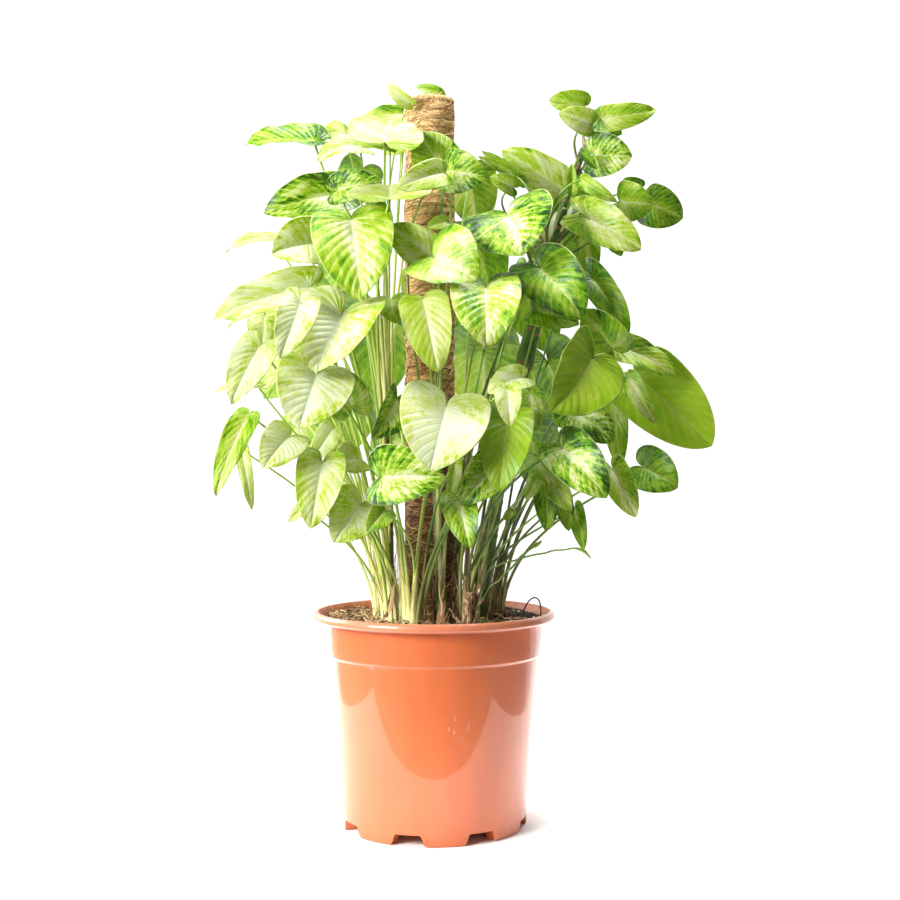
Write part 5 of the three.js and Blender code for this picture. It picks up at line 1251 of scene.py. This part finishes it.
def make_stump(bark, cut):
    """A dry cut-off stem: ribbed bark, a pale cut that is slightly hollow, and eight husks that
    curl out round it, each a flat tube along a power curve."""
    foot, top = np.array(STUMP_FOOT, float), np.array(STUMP_TOP, float)
    share = np.linspace(0, 1, 34)[:, None]
    theta = circle(STUMP_ROUND)
    middle = foot + (top - foot) * share
    place = around(6, theta, share * 20)
    radius = STUMP_RADIUS * (1 + 0.06 * rough(place, 3.2, 21, 24) + 0.04 * rough(place, 9, 22))
    radius *= 1 + STUMP_RING[0] * hump(share, *STUMP_RING[1:]) - 0.04
    wall = middle[:, None] + around(radius, theta)
    skin = Skin()
    skin.grid(wall, slot=BARK, wrap=True)
    lid = np.stack([wall[-1], middle[-1] + (wall[-1] - middle[-1]) * 0.85 - UP * 0.5,
                    np.broadcast_to(middle[-1] - UP * 0.4, wall[-1].shape)])
    skin.grid(lid, np.array([0, 0.2, 1.0]), slot=CUT, wrap=True)
    skin.grid(np.stack([np.broadcast_to(middle[0], wall[0].shape), wall[0]]), slot=BARK, wrap=True)
    share = np.linspace(0, 1, 16)[:, None]
    for turn, tall, curl, wide in HUSKS:
        out = around(1, math.radians(turn))
        line = foot + (top - foot) * share * tall + out * (STUMP_RADIUS * 0.85 + curl * share**2.2)
        line += 0.8 * rough(line, 9, turn)[:, None] * out
        width = wide * np.sin(np.pi * (0.12 + 0.85 * share[:, 0])) ** 0.7
        skin.tubes(line, HUSK_RADIUS, 10, np.cross(UP, out), BARK, flat=width / HUSK_RADIUS)
    skin.build("cut_stump", [bark, cut], "stump", "stump")


# ------------------------------------------------------------------ finishes

def colour(code):
    """The linear colour of an sRGB hex code."""
    parts = [int(code[k:k + 2], 16) / 255 for k in (1, 3, 5)]
    return [*(p / 12.92 if p <= 0.04045 else ((p + 0.055) / 1.055) ** 2.4 for p in parts), 1.0]


def per(*sizes):
    """What to multiply Object coordinates by, for features of these sizes in millimetres."""
    return tuple(1 / (size * MM) for size in sizes)


EVERY = slice(None)
MODES = {    # the setting that a node's mode goes to
    "Math": "operation", "VectorMath": "operation", "MapRange": "interpolation_type",
    "Mix": "data_type", "TexVoronoi": "feature",
}


class Nodes:
    """The nodes of a material or a world, none at first."""

    def __init__(self, owner):
        owner.use_nodes = True
        self.tree = owner.node_tree
        self.tree.nodes.clear()

    def add(self, kind, *inputs, out=0, stops=(), **named):
        """Adds a node, of a kind and perhaps a mode, and returns its output: the number or name
        `out`, or all for EVERY. Its inputs come in their order on the node, or by name with a
        capital letter, each a value, a hex code or the output to link. Names in small letters are
        settings, and `stops` are a ramp's, from its first to its last."""
        kind, *mode = kind.split()
        node = self.tree.nodes.new("ShaderNode" + kind)
        settings = {name: value for name, value in named.items() if name.islower()}
        if mode:
            settings[MODES[kind]] = mode[0]
        for name, value in settings.items():
            setattr(node, name, value)
        links = list(zip([socket for socket in node.inputs if socket.enabled], inputs))
        links += [(node.inputs[name.replace("_", " ")], value)
                  for name, value in named.items() if not name.islower()]
        for socket, value in links:
            if isinstance(value, bpy.types.NodeSocket):
                self.tree.links.new(value, socket)
            else:
                socket.default_value = colour(value) if isinstance(value, str) else value
        if stops:
            marks = node.color_ramp.elements
            marks[0].position, marks[1].position = stops[0][0], stops[-1][0]
            for place, _ in stops[1:-1]:
                marks.new(place)
            for mark, (_, shade) in zip(marks, stops):
                mark.color = colour(shade) if isinstance(shade, str) else shade
        if isinstance(out, str):
            return node.outputs[out]
        return [socket for socket in node.outputs if socket.enabled][out]


def finish(name, build, *settings):
    """A new material, whose shader `build` makes with the function that adds nodes."""
    material = bpy.data.materials.new(name)
    add = Nodes(material).add
    add("OutputMaterial", build(add, *settings), out=EVERY)
    return material


# A middling blade, on which the sizes of its patterns are measured in millimetres: what one unit
# of outline share spans, and half its width. The patterns grow and shrink with a blade.
BLADE_SPAN, HALF_BLADE = 180, 38
# Each pattern's size along the midrib and out from it, its detail, and how strongly it tints the
# skin: broad patches, streaks between the veins, and mottling.
LEAF_PATTERNS = (((60, 30, 1), 2, 2.0), ((7, 27, 1), 3, 1.1), ((7.5, 4.8, 1), 5, 1.6))
LEAF_PORES = (2.8, 1.5, 1)      # the pores and wrinkles of the skin
LEAF_CELL = (7, 3, 1)           # the net of the smallest veins
BLADES_APART, STEMS_APART = 500, 50      # how far apart in the patterns two blades, or stems, are
FIELD_TINT = 0.2           # how much each field between two veins differs from the next
PATTERN_MIDDLE = 2.5       # what the patterns add up to where they leave a blade's tone as it is
LEAF_STOPS = ((0.0, "#d6deba"), (0.14, "#d8dcb0"), (0.28, "#cdd488"), (0.42, "#b8ca4a"),
              (0.56, "#9bbc1c"), (0.7, "#74a80e"), (0.84, "#45830a"), (1.0, "#163c04"))
TONE_STOPS = [(TONE_PLACE[tone], (*TONES[tone], 0, 1)) for tone in TONES]
LEAF_RELIEF = 0.75         # height of the swellings between the veins
LEAF_GLOW = 0.32           # share of the light that a blade lets through


def leaf_skin(add, under):
    """Leaf skin: a cream ground along midrib and veins, with soft green bands between the veins,
    darker lobes and a mottled margin. It tells the eye which plant this is."""
    s, across, _ = add("SeparateXYZ", add("UVMap", uv_map="UVMap"), out=EVERY)
    tone, seed, _ = add("SeparateXYZ", add("UVMap", uv_map="kind"), out=EVERY)
    v = add("Math MULTIPLY_ADD", across, 2, -1)
    side = add("Math ABSOLUTE", v)
    bend = add("Math POWER", side, 2)
    swept = add("Math MULTIPLY_ADD", bend, -VEIN_SWEEP, s)
    phase = add("Math MULTIPLY", swept, VEINS)
    from_vein = add("Math PINGPONG", phase, 0.5)
    spot = add("VectorMath MULTIPLY", add("CombineXYZ", swept, v, seed),
               (BLADE_SPAN, HALF_BLADE, BLADES_APART))
    level, spread, _ = add("SeparateColor", add("ValToRGB", tone, stops=TONE_STOPS), out=EVERY)
    bands = add("Math MULTIPLY", add("MapRange SMOOTHSTEP", from_vein, 0.03, 0.3, 0, 0.14),
                add("MapRange SMOOTHSTEP", side, 0.05, 0.45, 0.25, 1))
    pattern = add("Math SUBTRACT", bands, PATTERN_MIDDLE)
    for size, detail, tint in LEAF_PATTERNS:
        noise = add("TexNoise", add("VectorMath DIVIDE", spot, size), 1, detail, 0.6)
        pattern = add("Math MULTIPLY_ADD", noise, tint, pattern)
    field = add("TexWhiteNoise", add("CombineXYZ", add("Math FLOOR", phase),
                                     add("Math SIGN", v), seed))
    pattern = add("Math MULTIPLY_ADD", field, FIELD_TINT, pattern)
    net = add("TexVoronoi DISTANCE_TO_EDGE", add("VectorMath DIVIDE", spot, LEAF_CELL), 1)
    for part in (add("MapRange SMOOTHSTEP", side, 0, 0.3, -0.24, 0),
                 add("MapRange SMOOTHSTEP", side, 0.65, 1, 0, 0.16),
                 add("MapRange SMOOTHSTEP", s, LOBE_SHARE - 0.1, LOBE_SHARE + 0.05, 0.2, 0),
                 add("MapRange SMOOTHSTEP", net, 0.02, 0.12, -0.1, 0.02)):
        pattern = add("Math ADD", pattern, part)
    place = add("Math MULTIPLY_ADD", pattern, spread, level)
    shade = add("ValToRGB", place, stops=LEAF_STOPS)
    paler = add("ValToRGB", add("Math SUBTRACT", place, 0.3), stops=LEAF_STOPS)
    midrib = add("Math MULTIPLY", add("MapRange SMOOTHSTEP", side, 0.014, 0.045, 0.8, 0),
                 add("MapRange SMOOTHSTEP", s, LOBE_SHARE - 0.05, LOBE_SHARE, 0, 1))
    lines = add("Math MAXIMUM", add("MapRange SMOOTHSTEP", from_vein, 0, 0.07, 0.5, 0), midrib)
    lines = add("Math MULTIPLY", lines, add("MapRange", spread, 0.15, 0.45, 0.35, 1))
    shade = add("Mix RGBA", lines, shade, paler)
    edge = add("MapRange SMOOTHSTEP", side, 0.962, 0.985, 0, 0.6)
    shade = add("Mix RGBA", edge, shade, "#dbe08a")
    if under:
        shade = add("Mix RGBA", 0.25, shade, "#93ae62")
    relief = add("MapRange SMOOTHSTEP", from_vein, 0, 0.2, 0, -0.5 if under else 0.3)
    pores = add("TexNoise", add("VectorMath DIVIDE", spot, LEAF_PORES), 1, 3, 0.6)
    relief = add("Math MULTIPLY_ADD", pores, 0.35, relief)
    normal = add("Bump", 0.6, Distance=LEAF_RELIEF * MM, Height=relief)
    glow = add("Mix RGBA", 0.5, shade, "#c6dc28")
    skin = add("BsdfPrincipled", shade, Roughness=0.5 if under else 0.36, Normal=normal)
    return add("MixShader", LEAF_GLOW, skin, add("BsdfTranslucent", glow, normal))


# A middling petiole, and how long its streaks are and how wide round it
PETIOLE_LENGTH, PETIOLE_GIRTH = 300, 13
PETIOLE_STREAK = (34, 3)
YOUNG_PETIOLE = ((0.0, "#948550"), (0.07, "#e9e8a4"), (0.28, "#bcc660"), (0.65, "#93b03a"),
                 (1.0, "#a4c645"))
OLD_PETIOLE = ((0.0, "#5f4a2c"), (0.1, "#7d7442"), (0.32, "#36481b"), (0.65, "#4c7419"),
               (1.0, "#7da530"))


def petiole_skin(add):
    """Petioles: yellow-green at the foot, green above, with fine streaks that show how they run,
    and tan or dark green on the old sheaths; the darker colours towards the right are painted
    shade."""
    along, turn, _ = add("SeparateXYZ", add("UVMap", uv_map="UVMap"), out=EVERY)
    age_and_shade, seed, _ = add("SeparateXYZ", add("UVMap", uv_map="kind"), out=EVERY)
    spot = add("VectorMath MULTIPLY", add("CombineXYZ", along, turn, seed),
               (PETIOLE_LENGTH / PETIOLE_STREAK[0], PETIOLE_GIRTH / PETIOLE_STREAK[1], STEMS_APART))
    streak = add("TexNoise", spot, 1, 3, 0.6)
    shade = add("Mix RGBA", age_and_shade, add("ValToRGB", along, stops=YOUNG_PETIOLE),
                add("ValToRGB", along, stops=OLD_PETIOLE))
    tan = add("MapRange SMOOTHSTEP", streak, 0.5, 0.66, 0, 0.75)
    tan = add("Math MULTIPLY", tan, add("MapRange SMOOTHSTEP", along, 0.3, 0.6, 1, 0.1))
    shade = add("Mix RGBA", tan, shade, "#a2875a")
    dark = add("MapRange SMOOTHSTEP", streak, 0.3, 0.42, 0.5, 0)
    shade = add("Mix RGBA", dark, shade, "#3f5218")
    normal = add("Bump", 0.5, Distance=0.5 * MM, Height=streak)
    return add("BsdfPrincipled", shade, Roughness=0.4, Normal=normal)


CANE_GRAIN = (14, 5)     # its grain, along the cane and round it


def cane_skin(add):
    """Jointed canes: dark green skin with a corky scar at every ring, which gives them joints."""
    along, turn, _ = add("SeparateXYZ", add("UVMap", uv_map="UVMap"), out=EVERY)
    seed = add("SeparateXYZ", add("UVMap", uv_map="kind"), out="Y")
    scar = add("Math PINGPONG", along, 0.5)
    spot = add("VectorMath MULTIPLY", add("CombineXYZ", along, turn, seed),
               (NODE_SPACING / CANE_GRAIN[0], 2 * math.pi * CANE_RADIUS / CANE_GRAIN[1],
                STEMS_APART))
    grain = add("TexNoise", spot, 1, 4, 0.6)
    mottle = add("MapRange SMOOTHSTEP", grain, 0.35, 0.65, 0, 1)
    cork = add("MapRange SMOOTHSTEP", scar, 0.03, 0.07, 0.85, 0)
    shade = add("Mix RGBA", cork, add("Mix RGBA", mottle, "#5f7a2c", "#2f4a13"), "#8a6a45")
    normal = add("Bump", 0.5, Distance=0.8 * MM, Height=grain)
    return add("BsdfPrincipled", shade, Roughness=0.5, Normal=normal)


# Sizes of the patterns below. Those of three numbers run along x, y and z.
CROWN_STAIN = 11
SCUFFED = (12, 40, 86, 124)      # x and z of the patch on the front where a label has been
RUB_FLECK = (3, 3, 9)    # flecks that the label has left, taller than wide
RUB_FADE = 6             # how softly the rubbed patch ends
SMEAR = (45, 45, 140)    # watermarks down the wall
SCRATCH = (2, 2, 11)     # drawn coarser than real scratches, so that they show at all
RIM_HIGHLIGHT = (200 * MM, 206 * MM)      # above these heights the rim is painted paler, a painted highlight
DRIED_SOIL = 7
SOIL_GRAIN = 2.4
PAINTED_SOIL_SHADE = (-40 * MM, 20 * MM)      # between these x the soil is painted darker to the right, a painted shade
BIT_GRAIN = 1.4
PERLITE_GRAIN = 1.1
COIR_LAY = (16, 16, 1.8)     # how far a bundle of fibres runs round the pole, and how thick it is
COIR_PATCH = 22              # lighter and darker patches of the mat
PAINTED_LOW_SHADE = (200 * MM, 560 * MM)  # between these heights the painted shade on the coir fades out upwards
STAKE_GRAIN = (2.5, 2.5, 80)
BARK_RIB = (2, 2, 9)
PITH_GRAIN = 1.7


def crown_skin(add):
    """Crowns: pale sheathing skin stained by the soil, so that the stems come out of it softly."""
    stain = add("TexNoise", add("TexCoord", out="Object"), *per(CROWN_STAIN), 4, 0.65)
    soiled = add("MapRange SMOOTHSTEP", stain, 0.4, 0.6, 0, 1)
    shade = add("Mix RGBA", soiled, "#8c8a4c", "#3c2a17")
    normal = add("Bump", 0.8, Distance=1.2 * MM, Height=stain)
    return add("BsdfPrincipled", shade, Roughness=0.7, Normal=normal)


def pot_plastic(add):
    """Gloss polypropylene: saturated terracotta under clear reflections, with rubbed marks where a
    label has been, faint scratches that break the reflections, and a paler rim top that is a
    painted highlight."""
    place = add("TexCoord", out="Object")
    x, y, z = add("SeparateXYZ", place, out=EVERY)
    low_x, high_x, low_z, high_z = SCUFFED
    rubbed = add("MapRange", y, AXIS[1] - 60 * MM, AXIS[1] - 50 * MM, 1, 0)
    for part, low, high in ((x, low_x * MM + AXIS[0], high_x * MM + AXIS[0]),
                            (z, low_z * MM, high_z * MM)):
        for edge, first, last in ((low, 0, 1), (high, 1, 0)):
            inside = add("MapRange SMOOTHSTEP", part, edge - RUB_FADE * MM, edge + RUB_FADE * MM,
                         first, last)
            rubbed = add("Math MULTIPLY", rubbed, inside)
    flecks, smear, scratch = (
        add("TexNoise", add("VectorMath MULTIPLY", place, per(*size)), 1, detail, 0.7)
        for size, detail in ((RUB_FLECK, 5), (SMEAR, 3), (SCRATCH, 3)))
    rubbed = add("Math MULTIPLY", rubbed, add("MapRange SMOOTHSTEP", flecks, 0.58, 0.66, 0, 1))
    streaked = add("MapRange SMOOTHSTEP", smear, 0.35, 0.7, 0, 0.35)
    shade = add("Mix RGBA", streaked, "#cf6836", "#b65528")
    # painted highlight: the top of the rim is painted paler
    painted_light = add("MapRange SMOOTHSTEP", z, *RIM_HIGHLIGHT, 0, 0.13)
    shade = add("Mix RGBA", add("Math MULTIPLY_ADD", rubbed, 0.4, painted_light), shade, "#f3cdb2")
    dull = add("Math MULTIPLY_ADD", rubbed, 0.3, 0.42)
    normal = add("Bump", 0.2, Distance=0.02 * MM, Height=scratch)
    return add("BsdfPrincipled", shade, Roughness=dull, Normal=normal, Coat_Weight=1.0,
               Coat_Roughness=0.03, Coat_IOR=1.42)


def dusty_plastic(add):
    """The same plastic inside the pot, dulled by dried soil, so that it shows no clear image."""
    stain = add("TexNoise", add("TexCoord", out="Object"), *per(DRIED_SOIL), 4, 0.65)
    soiled = add("MapRange SMOOTHSTEP", stain, 0.35, 0.6, 0, 0.45)
    shade = add("Mix RGBA", soiled, "#b86a48", "#744a33")
    return add("BsdfPrincipled", shade, Roughness=0.65)


def soil_mix(add):
    """Potting mix: near-black brown crumbs with lighter specks, rough enough to take no shine."""
    place = add("TexCoord", out="Object")
    grain = add("TexNoise", place, *per(SOIL_GRAIN), 5, 0.7)
    # painted shade: the mix is darker towards the right
    painted_shade = add("MapRange SMOOTHSTEP", add("SeparateXYZ", place), *PAINTED_SOIL_SHADE, 0, 0.13)
    shade = add("ValToRGB", add("Math SUBTRACT", grain, painted_shade),
                stops=((0.3, "#1d120b"), (0.54, "#50382a"), (0.72, "#a07c56")))
    normal = add("Bump", 0.9, Distance=1.5 * MM, Height=grain)
    return add("BsdfPrincipled", shade, Roughness=0.95, Normal=normal)


def loose_bits(add, stops, painted_shade=0.0):
    """Loose crumbs, bark or dry fibres: each has its own tint, so that they part to the eye. The
    last argument is how much darker they are painted low down, a painted shade."""
    place = add("TexCoord", out="Object")
    tint = add("SeparateXYZ", add("UVMap", uv_map="kind"))
    grain = add("TexNoise", place, *per(BIT_GRAIN), 3, 0.6)
    tint = add("Math MULTIPLY_ADD", grain, 0.5, tint)
    z = add("SeparateXYZ", place, out="Z")
    # painted shade: darker low down
    tint = add("Math SUBTRACT", tint, add("MapRange SMOOTHSTEP", z, *PAINTED_LOW_SHADE, painted_shade, 0))
    shade = add("ValToRGB", add("Math SUBTRACT", tint, 0.25), stops=stops)
    normal = add("Bump", 0.6, Distance=0.6 * MM, Height=grain)
    return add("BsdfPrincipled", shade, Roughness=0.85, Normal=normal)


def perlite_grain(add):
    """Perlite: dull off-white grains, the only bright specks in the mix."""
    grain = add("TexNoise", add("TexCoord", out="Object"), *per(PERLITE_GRAIN), 3)
    shade = add("Mix RGBA", grain, "#c6bfae", "#f1eee6")
    normal = add("Bump", 0.7, Distance=0.5 * MM, Height=grain)
    return add("BsdfPrincipled", shade, Roughness=0.9, Normal=normal)


def coir_mat(add):
    """Matted coconut fibre: warm brown felt with dark gaps, under the lighter loose strands, and
    darker low down, a painted shade.
    """
    place = add("TexCoord", out="Object")
    lay = add("TexNoise", add("VectorMath MULTIPLY", place, per(*COIR_LAY)), 1, 5, 0.7)
    patch = add("TexNoise", place, *per(COIR_PATCH), 3)
    z = add("SeparateXYZ", place, out="Z")
    # painted shade: darker low down, a little lighter high up
    painted_light = add("MapRange SMOOTHSTEP", z, *PAINTED_LOW_SHADE, -0.3, 0.04)
    tint = add("Math MULTIPLY_ADD", patch, 0.3, painted_light)
    tint = add("Math MULTIPLY_ADD", lay, 0.75, tint)
    shade = add("ValToRGB", tint, stops=((0.36, "#5c3a1e"), (0.5, "#c8975a"), (0.66, "#f0cf98")))
    normal = add("Bump", 1.0, Distance=1.6 * MM, Height=lay)
    return add("BsdfPrincipled", shade, Roughness=0.95, Normal=normal)


def sawn_stake(add):
    """Plain softwood of the stake inside the coir, with a grain along it."""
    place = add("VectorMath MULTIPLY", add("TexCoord", out="Object"), per(*STAKE_GRAIN))
    shade = add("Mix RGBA", add("TexNoise", place, 1, 4), "#b98f5c", "#d9b988")
    return add("BsdfPrincipled", shade, Roughness=0.8)


def stump_bark(add):
    """Dry bark and husk of the cut stem: dark brown ribs that part it from the green petioles."""
    place = add("VectorMath MULTIPLY", add("TexCoord", out="Object"), per(*BARK_RIB))
    grain = add("TexNoise", place, 1, 5, 0.65)
    shade = add("ValToRGB", grain, stops=((0.34, "#3a2616"), (0.5, "#866541"), (0.64, "#dcc294")))
    normal = add("Bump", 1.0, Distance=1.2 * MM, Height=grain)
    return add("BsdfPrincipled", shade, Roughness=0.85, Normal=normal)


def cut_face(add):
    """The cut itself: pale green pith with drier flecks, which marks the stump as a cut stem."""
    grain = add("TexNoise", add("TexCoord", out="Object"), *per(PITH_GRAIN), 3)
    shade = add("Mix RGBA", grain, "#d5dcae", "#9fae66")
    return add("BsdfPrincipled", shade, Roughness=0.7)


# ------------------------------------------------------------------ studio

FLOOR_CORNERS = ((-515, -255), (470, -250), (470, 280), (1500, 1500), (-1500, 1500), (-515, 280))
FLOOR_DROP = 0.15          # how far the board lies below the pot, so that the two don't flicker
# the board's own glow, painted light: it gives light though it is no lamp
BOARD_GLOW = 0.45
PAINTED_CONTACT_SHADOW = (84, 135)         # the board's glow is left out under the pot and fades in out to here, a painted contact shadow
LIT_AROUND = math.cos(math.radians(58))     # the backdrop fills this much round +y
BACKDROP_EDGE = 0.015
BACKDROP, ROOM = 1.2, 0.25                  # how bright it is, and the room in front of it
LENS, SENSOR = 56.32, 36
SIGHT_RANGE = (0.05, 20)
LAMPS = {    # the place of each soft lamp, what it is turned to, its width and its power in watts
    "key": ((-1150, -1050, 900), (0, 0, 330), 800, 54),
    "top": ((250, 100, 2000), (80, 0, 450), 900, 56),
    "left_back": ((-1250, 700, 900), (0, 0, 300), 700, 30),
}


def glowing_board(add):
    """White acrylic that glows though it is no lamp, painted light that keeps it white with next to
    no shadow and bright in the pot's gloss; the glow fades out under the pot, a painted contact
    shadow.
    """
    away = add("VectorMath ADD", add("TexCoord", out="Object"), tuple(-AXIS))
    away = add("VectorMath LENGTH", away)
    # painted light and painted contact shadow: the glow is left out under the pot
    glow = add("MapRange SMOOTHSTEP", away, PAINTED_CONTACT_SHADOW[0] * MM, PAINTED_CONTACT_SHADOW[1] * MM, 0, BOARD_GLOW)
    return add("BsdfPrincipled", "#f6f5f3", Roughness=1.0, Specular_IOR_Level=0.0,
               Emission_Color="#ffffff", Emission_Strength=glow)


def make_floor():
    """The board that the pot stands on, wider towards the back."""
    mesh = bpy.data.meshes.new("studio_board")
    corners = [tuple(np.array([x, y, -FLOOR_DROP]) * MM + AXIS) for x, y in FLOOR_CORNERS]
    mesh.from_pydata(corners, [], [tuple(range(len(corners)))])
    mesh.materials.append(finish("glowing white acrylic", glowing_board))
    placed("studio_board", mesh)


def make_world():
    """A bright backdrop all round the back, and a dim room towards the front and sides."""
    world = bpy.data.worlds.new("studio")
    add = Nodes(world).add
    y = add("SeparateXYZ", add("TexCoord", out="Generated"), out="Y")
    lit = add("MapRange SMOOTHSTEP", y, LIT_AROUND - BACKDROP_EDGE, LIT_AROUND + BACKDROP_EDGE,
              ROOM, BACKDROP)
    add("OutputWorld", add("Background", "#ffffff", lit), out=EVERY)
    bpy.context.scene.world = world


def make_lamps():
    for name, (place, target, size, power) in LAMPS.items():
        lamp = bpy.data.lights.new(name, "AREA")
        lamp.shape, lamp.size, lamp.energy = "SQUARE", size * MM, power
        light = placed(name, lamp)
        light.location = np.array(place) * MM + AXIS
        aim = Vector((np.array(target) - np.array(place)).tolist())
        light.rotation_euler = aim.to_track_quat("-Z", "Y").to_euler()


def make_camera():
    lens = bpy.data.cameras.new("camera")
    lens.lens, lens.sensor_width = LENS, SENSOR
    lens.clip_start, lens.clip_end = SIGHT_RANGE
    camera = placed("camera", lens)
    camera.location = EYE * MM + AXIS
    camera.rotation_euler = (math.pi / 2, 0, 0)
    bpy.context.scene.camera = camera


# ------------------------------------------------------------------ the whole plant

make_stems([
    finish("variegated leaf skin", leaf_skin, False),
    finish("pale leaf underside", leaf_skin, True),
    finish("smooth petiole skin", petiole_skin),
    finish("jointed cane skin", cane_skin),
    finish("crown sheath skin", crown_skin),
    finish("dry papery sheath", loose_bits, ((0.0, "#3a2615"), (0.5, "#8b6a42"), (1.0, "#d9bd8c"))),
])
make_pot(finish("gloss terracotta polypropylene", pot_plastic),
         finish("soil-stained polypropylene", dusty_plastic))
make_soil(finish("fibrous potting mix", soil_mix))
make_litter([
    finish("crumbs and bark", loose_bits,
           ((0.0, "#1a0f08"), (0.45, "#563a24"), (0.8, "#92704a"), (1.0, "#c7a478"))),
    finish("dry straw fibres", loose_bits, ((0.0, "#4a301c"), (0.5, "#96714a"), (1.0, "#dcc096"))),
], finish("white perlite", perlite_grain))
make_pole(
    finish("matted coconut fibre", coir_mat),
    finish("loose coir strands", loose_bits,
           ((0.0, "#4a2b16"), (0.5, "#d8a668"), (1.0, "#fce4b0")), 0.5),
    finish("twisted binding thread", loose_bits, ((0.0, "#5c3a20"), (1.0, "#d2ab78")), 0.4))
make_stump(finish("dry stem bark", stump_bark), finish("pale cut pith", cut_face))
STAKE = bpy.data.objects["pole_core"]
STAKE.data.materials.clear()
STAKE.data.materials.append(finish("plain sawn softwood", sawn_stake))

make_floor()
make_world()
make_lamps()
make_camera()
bpy.context.scene.view_settings.view_transform = "Standard"
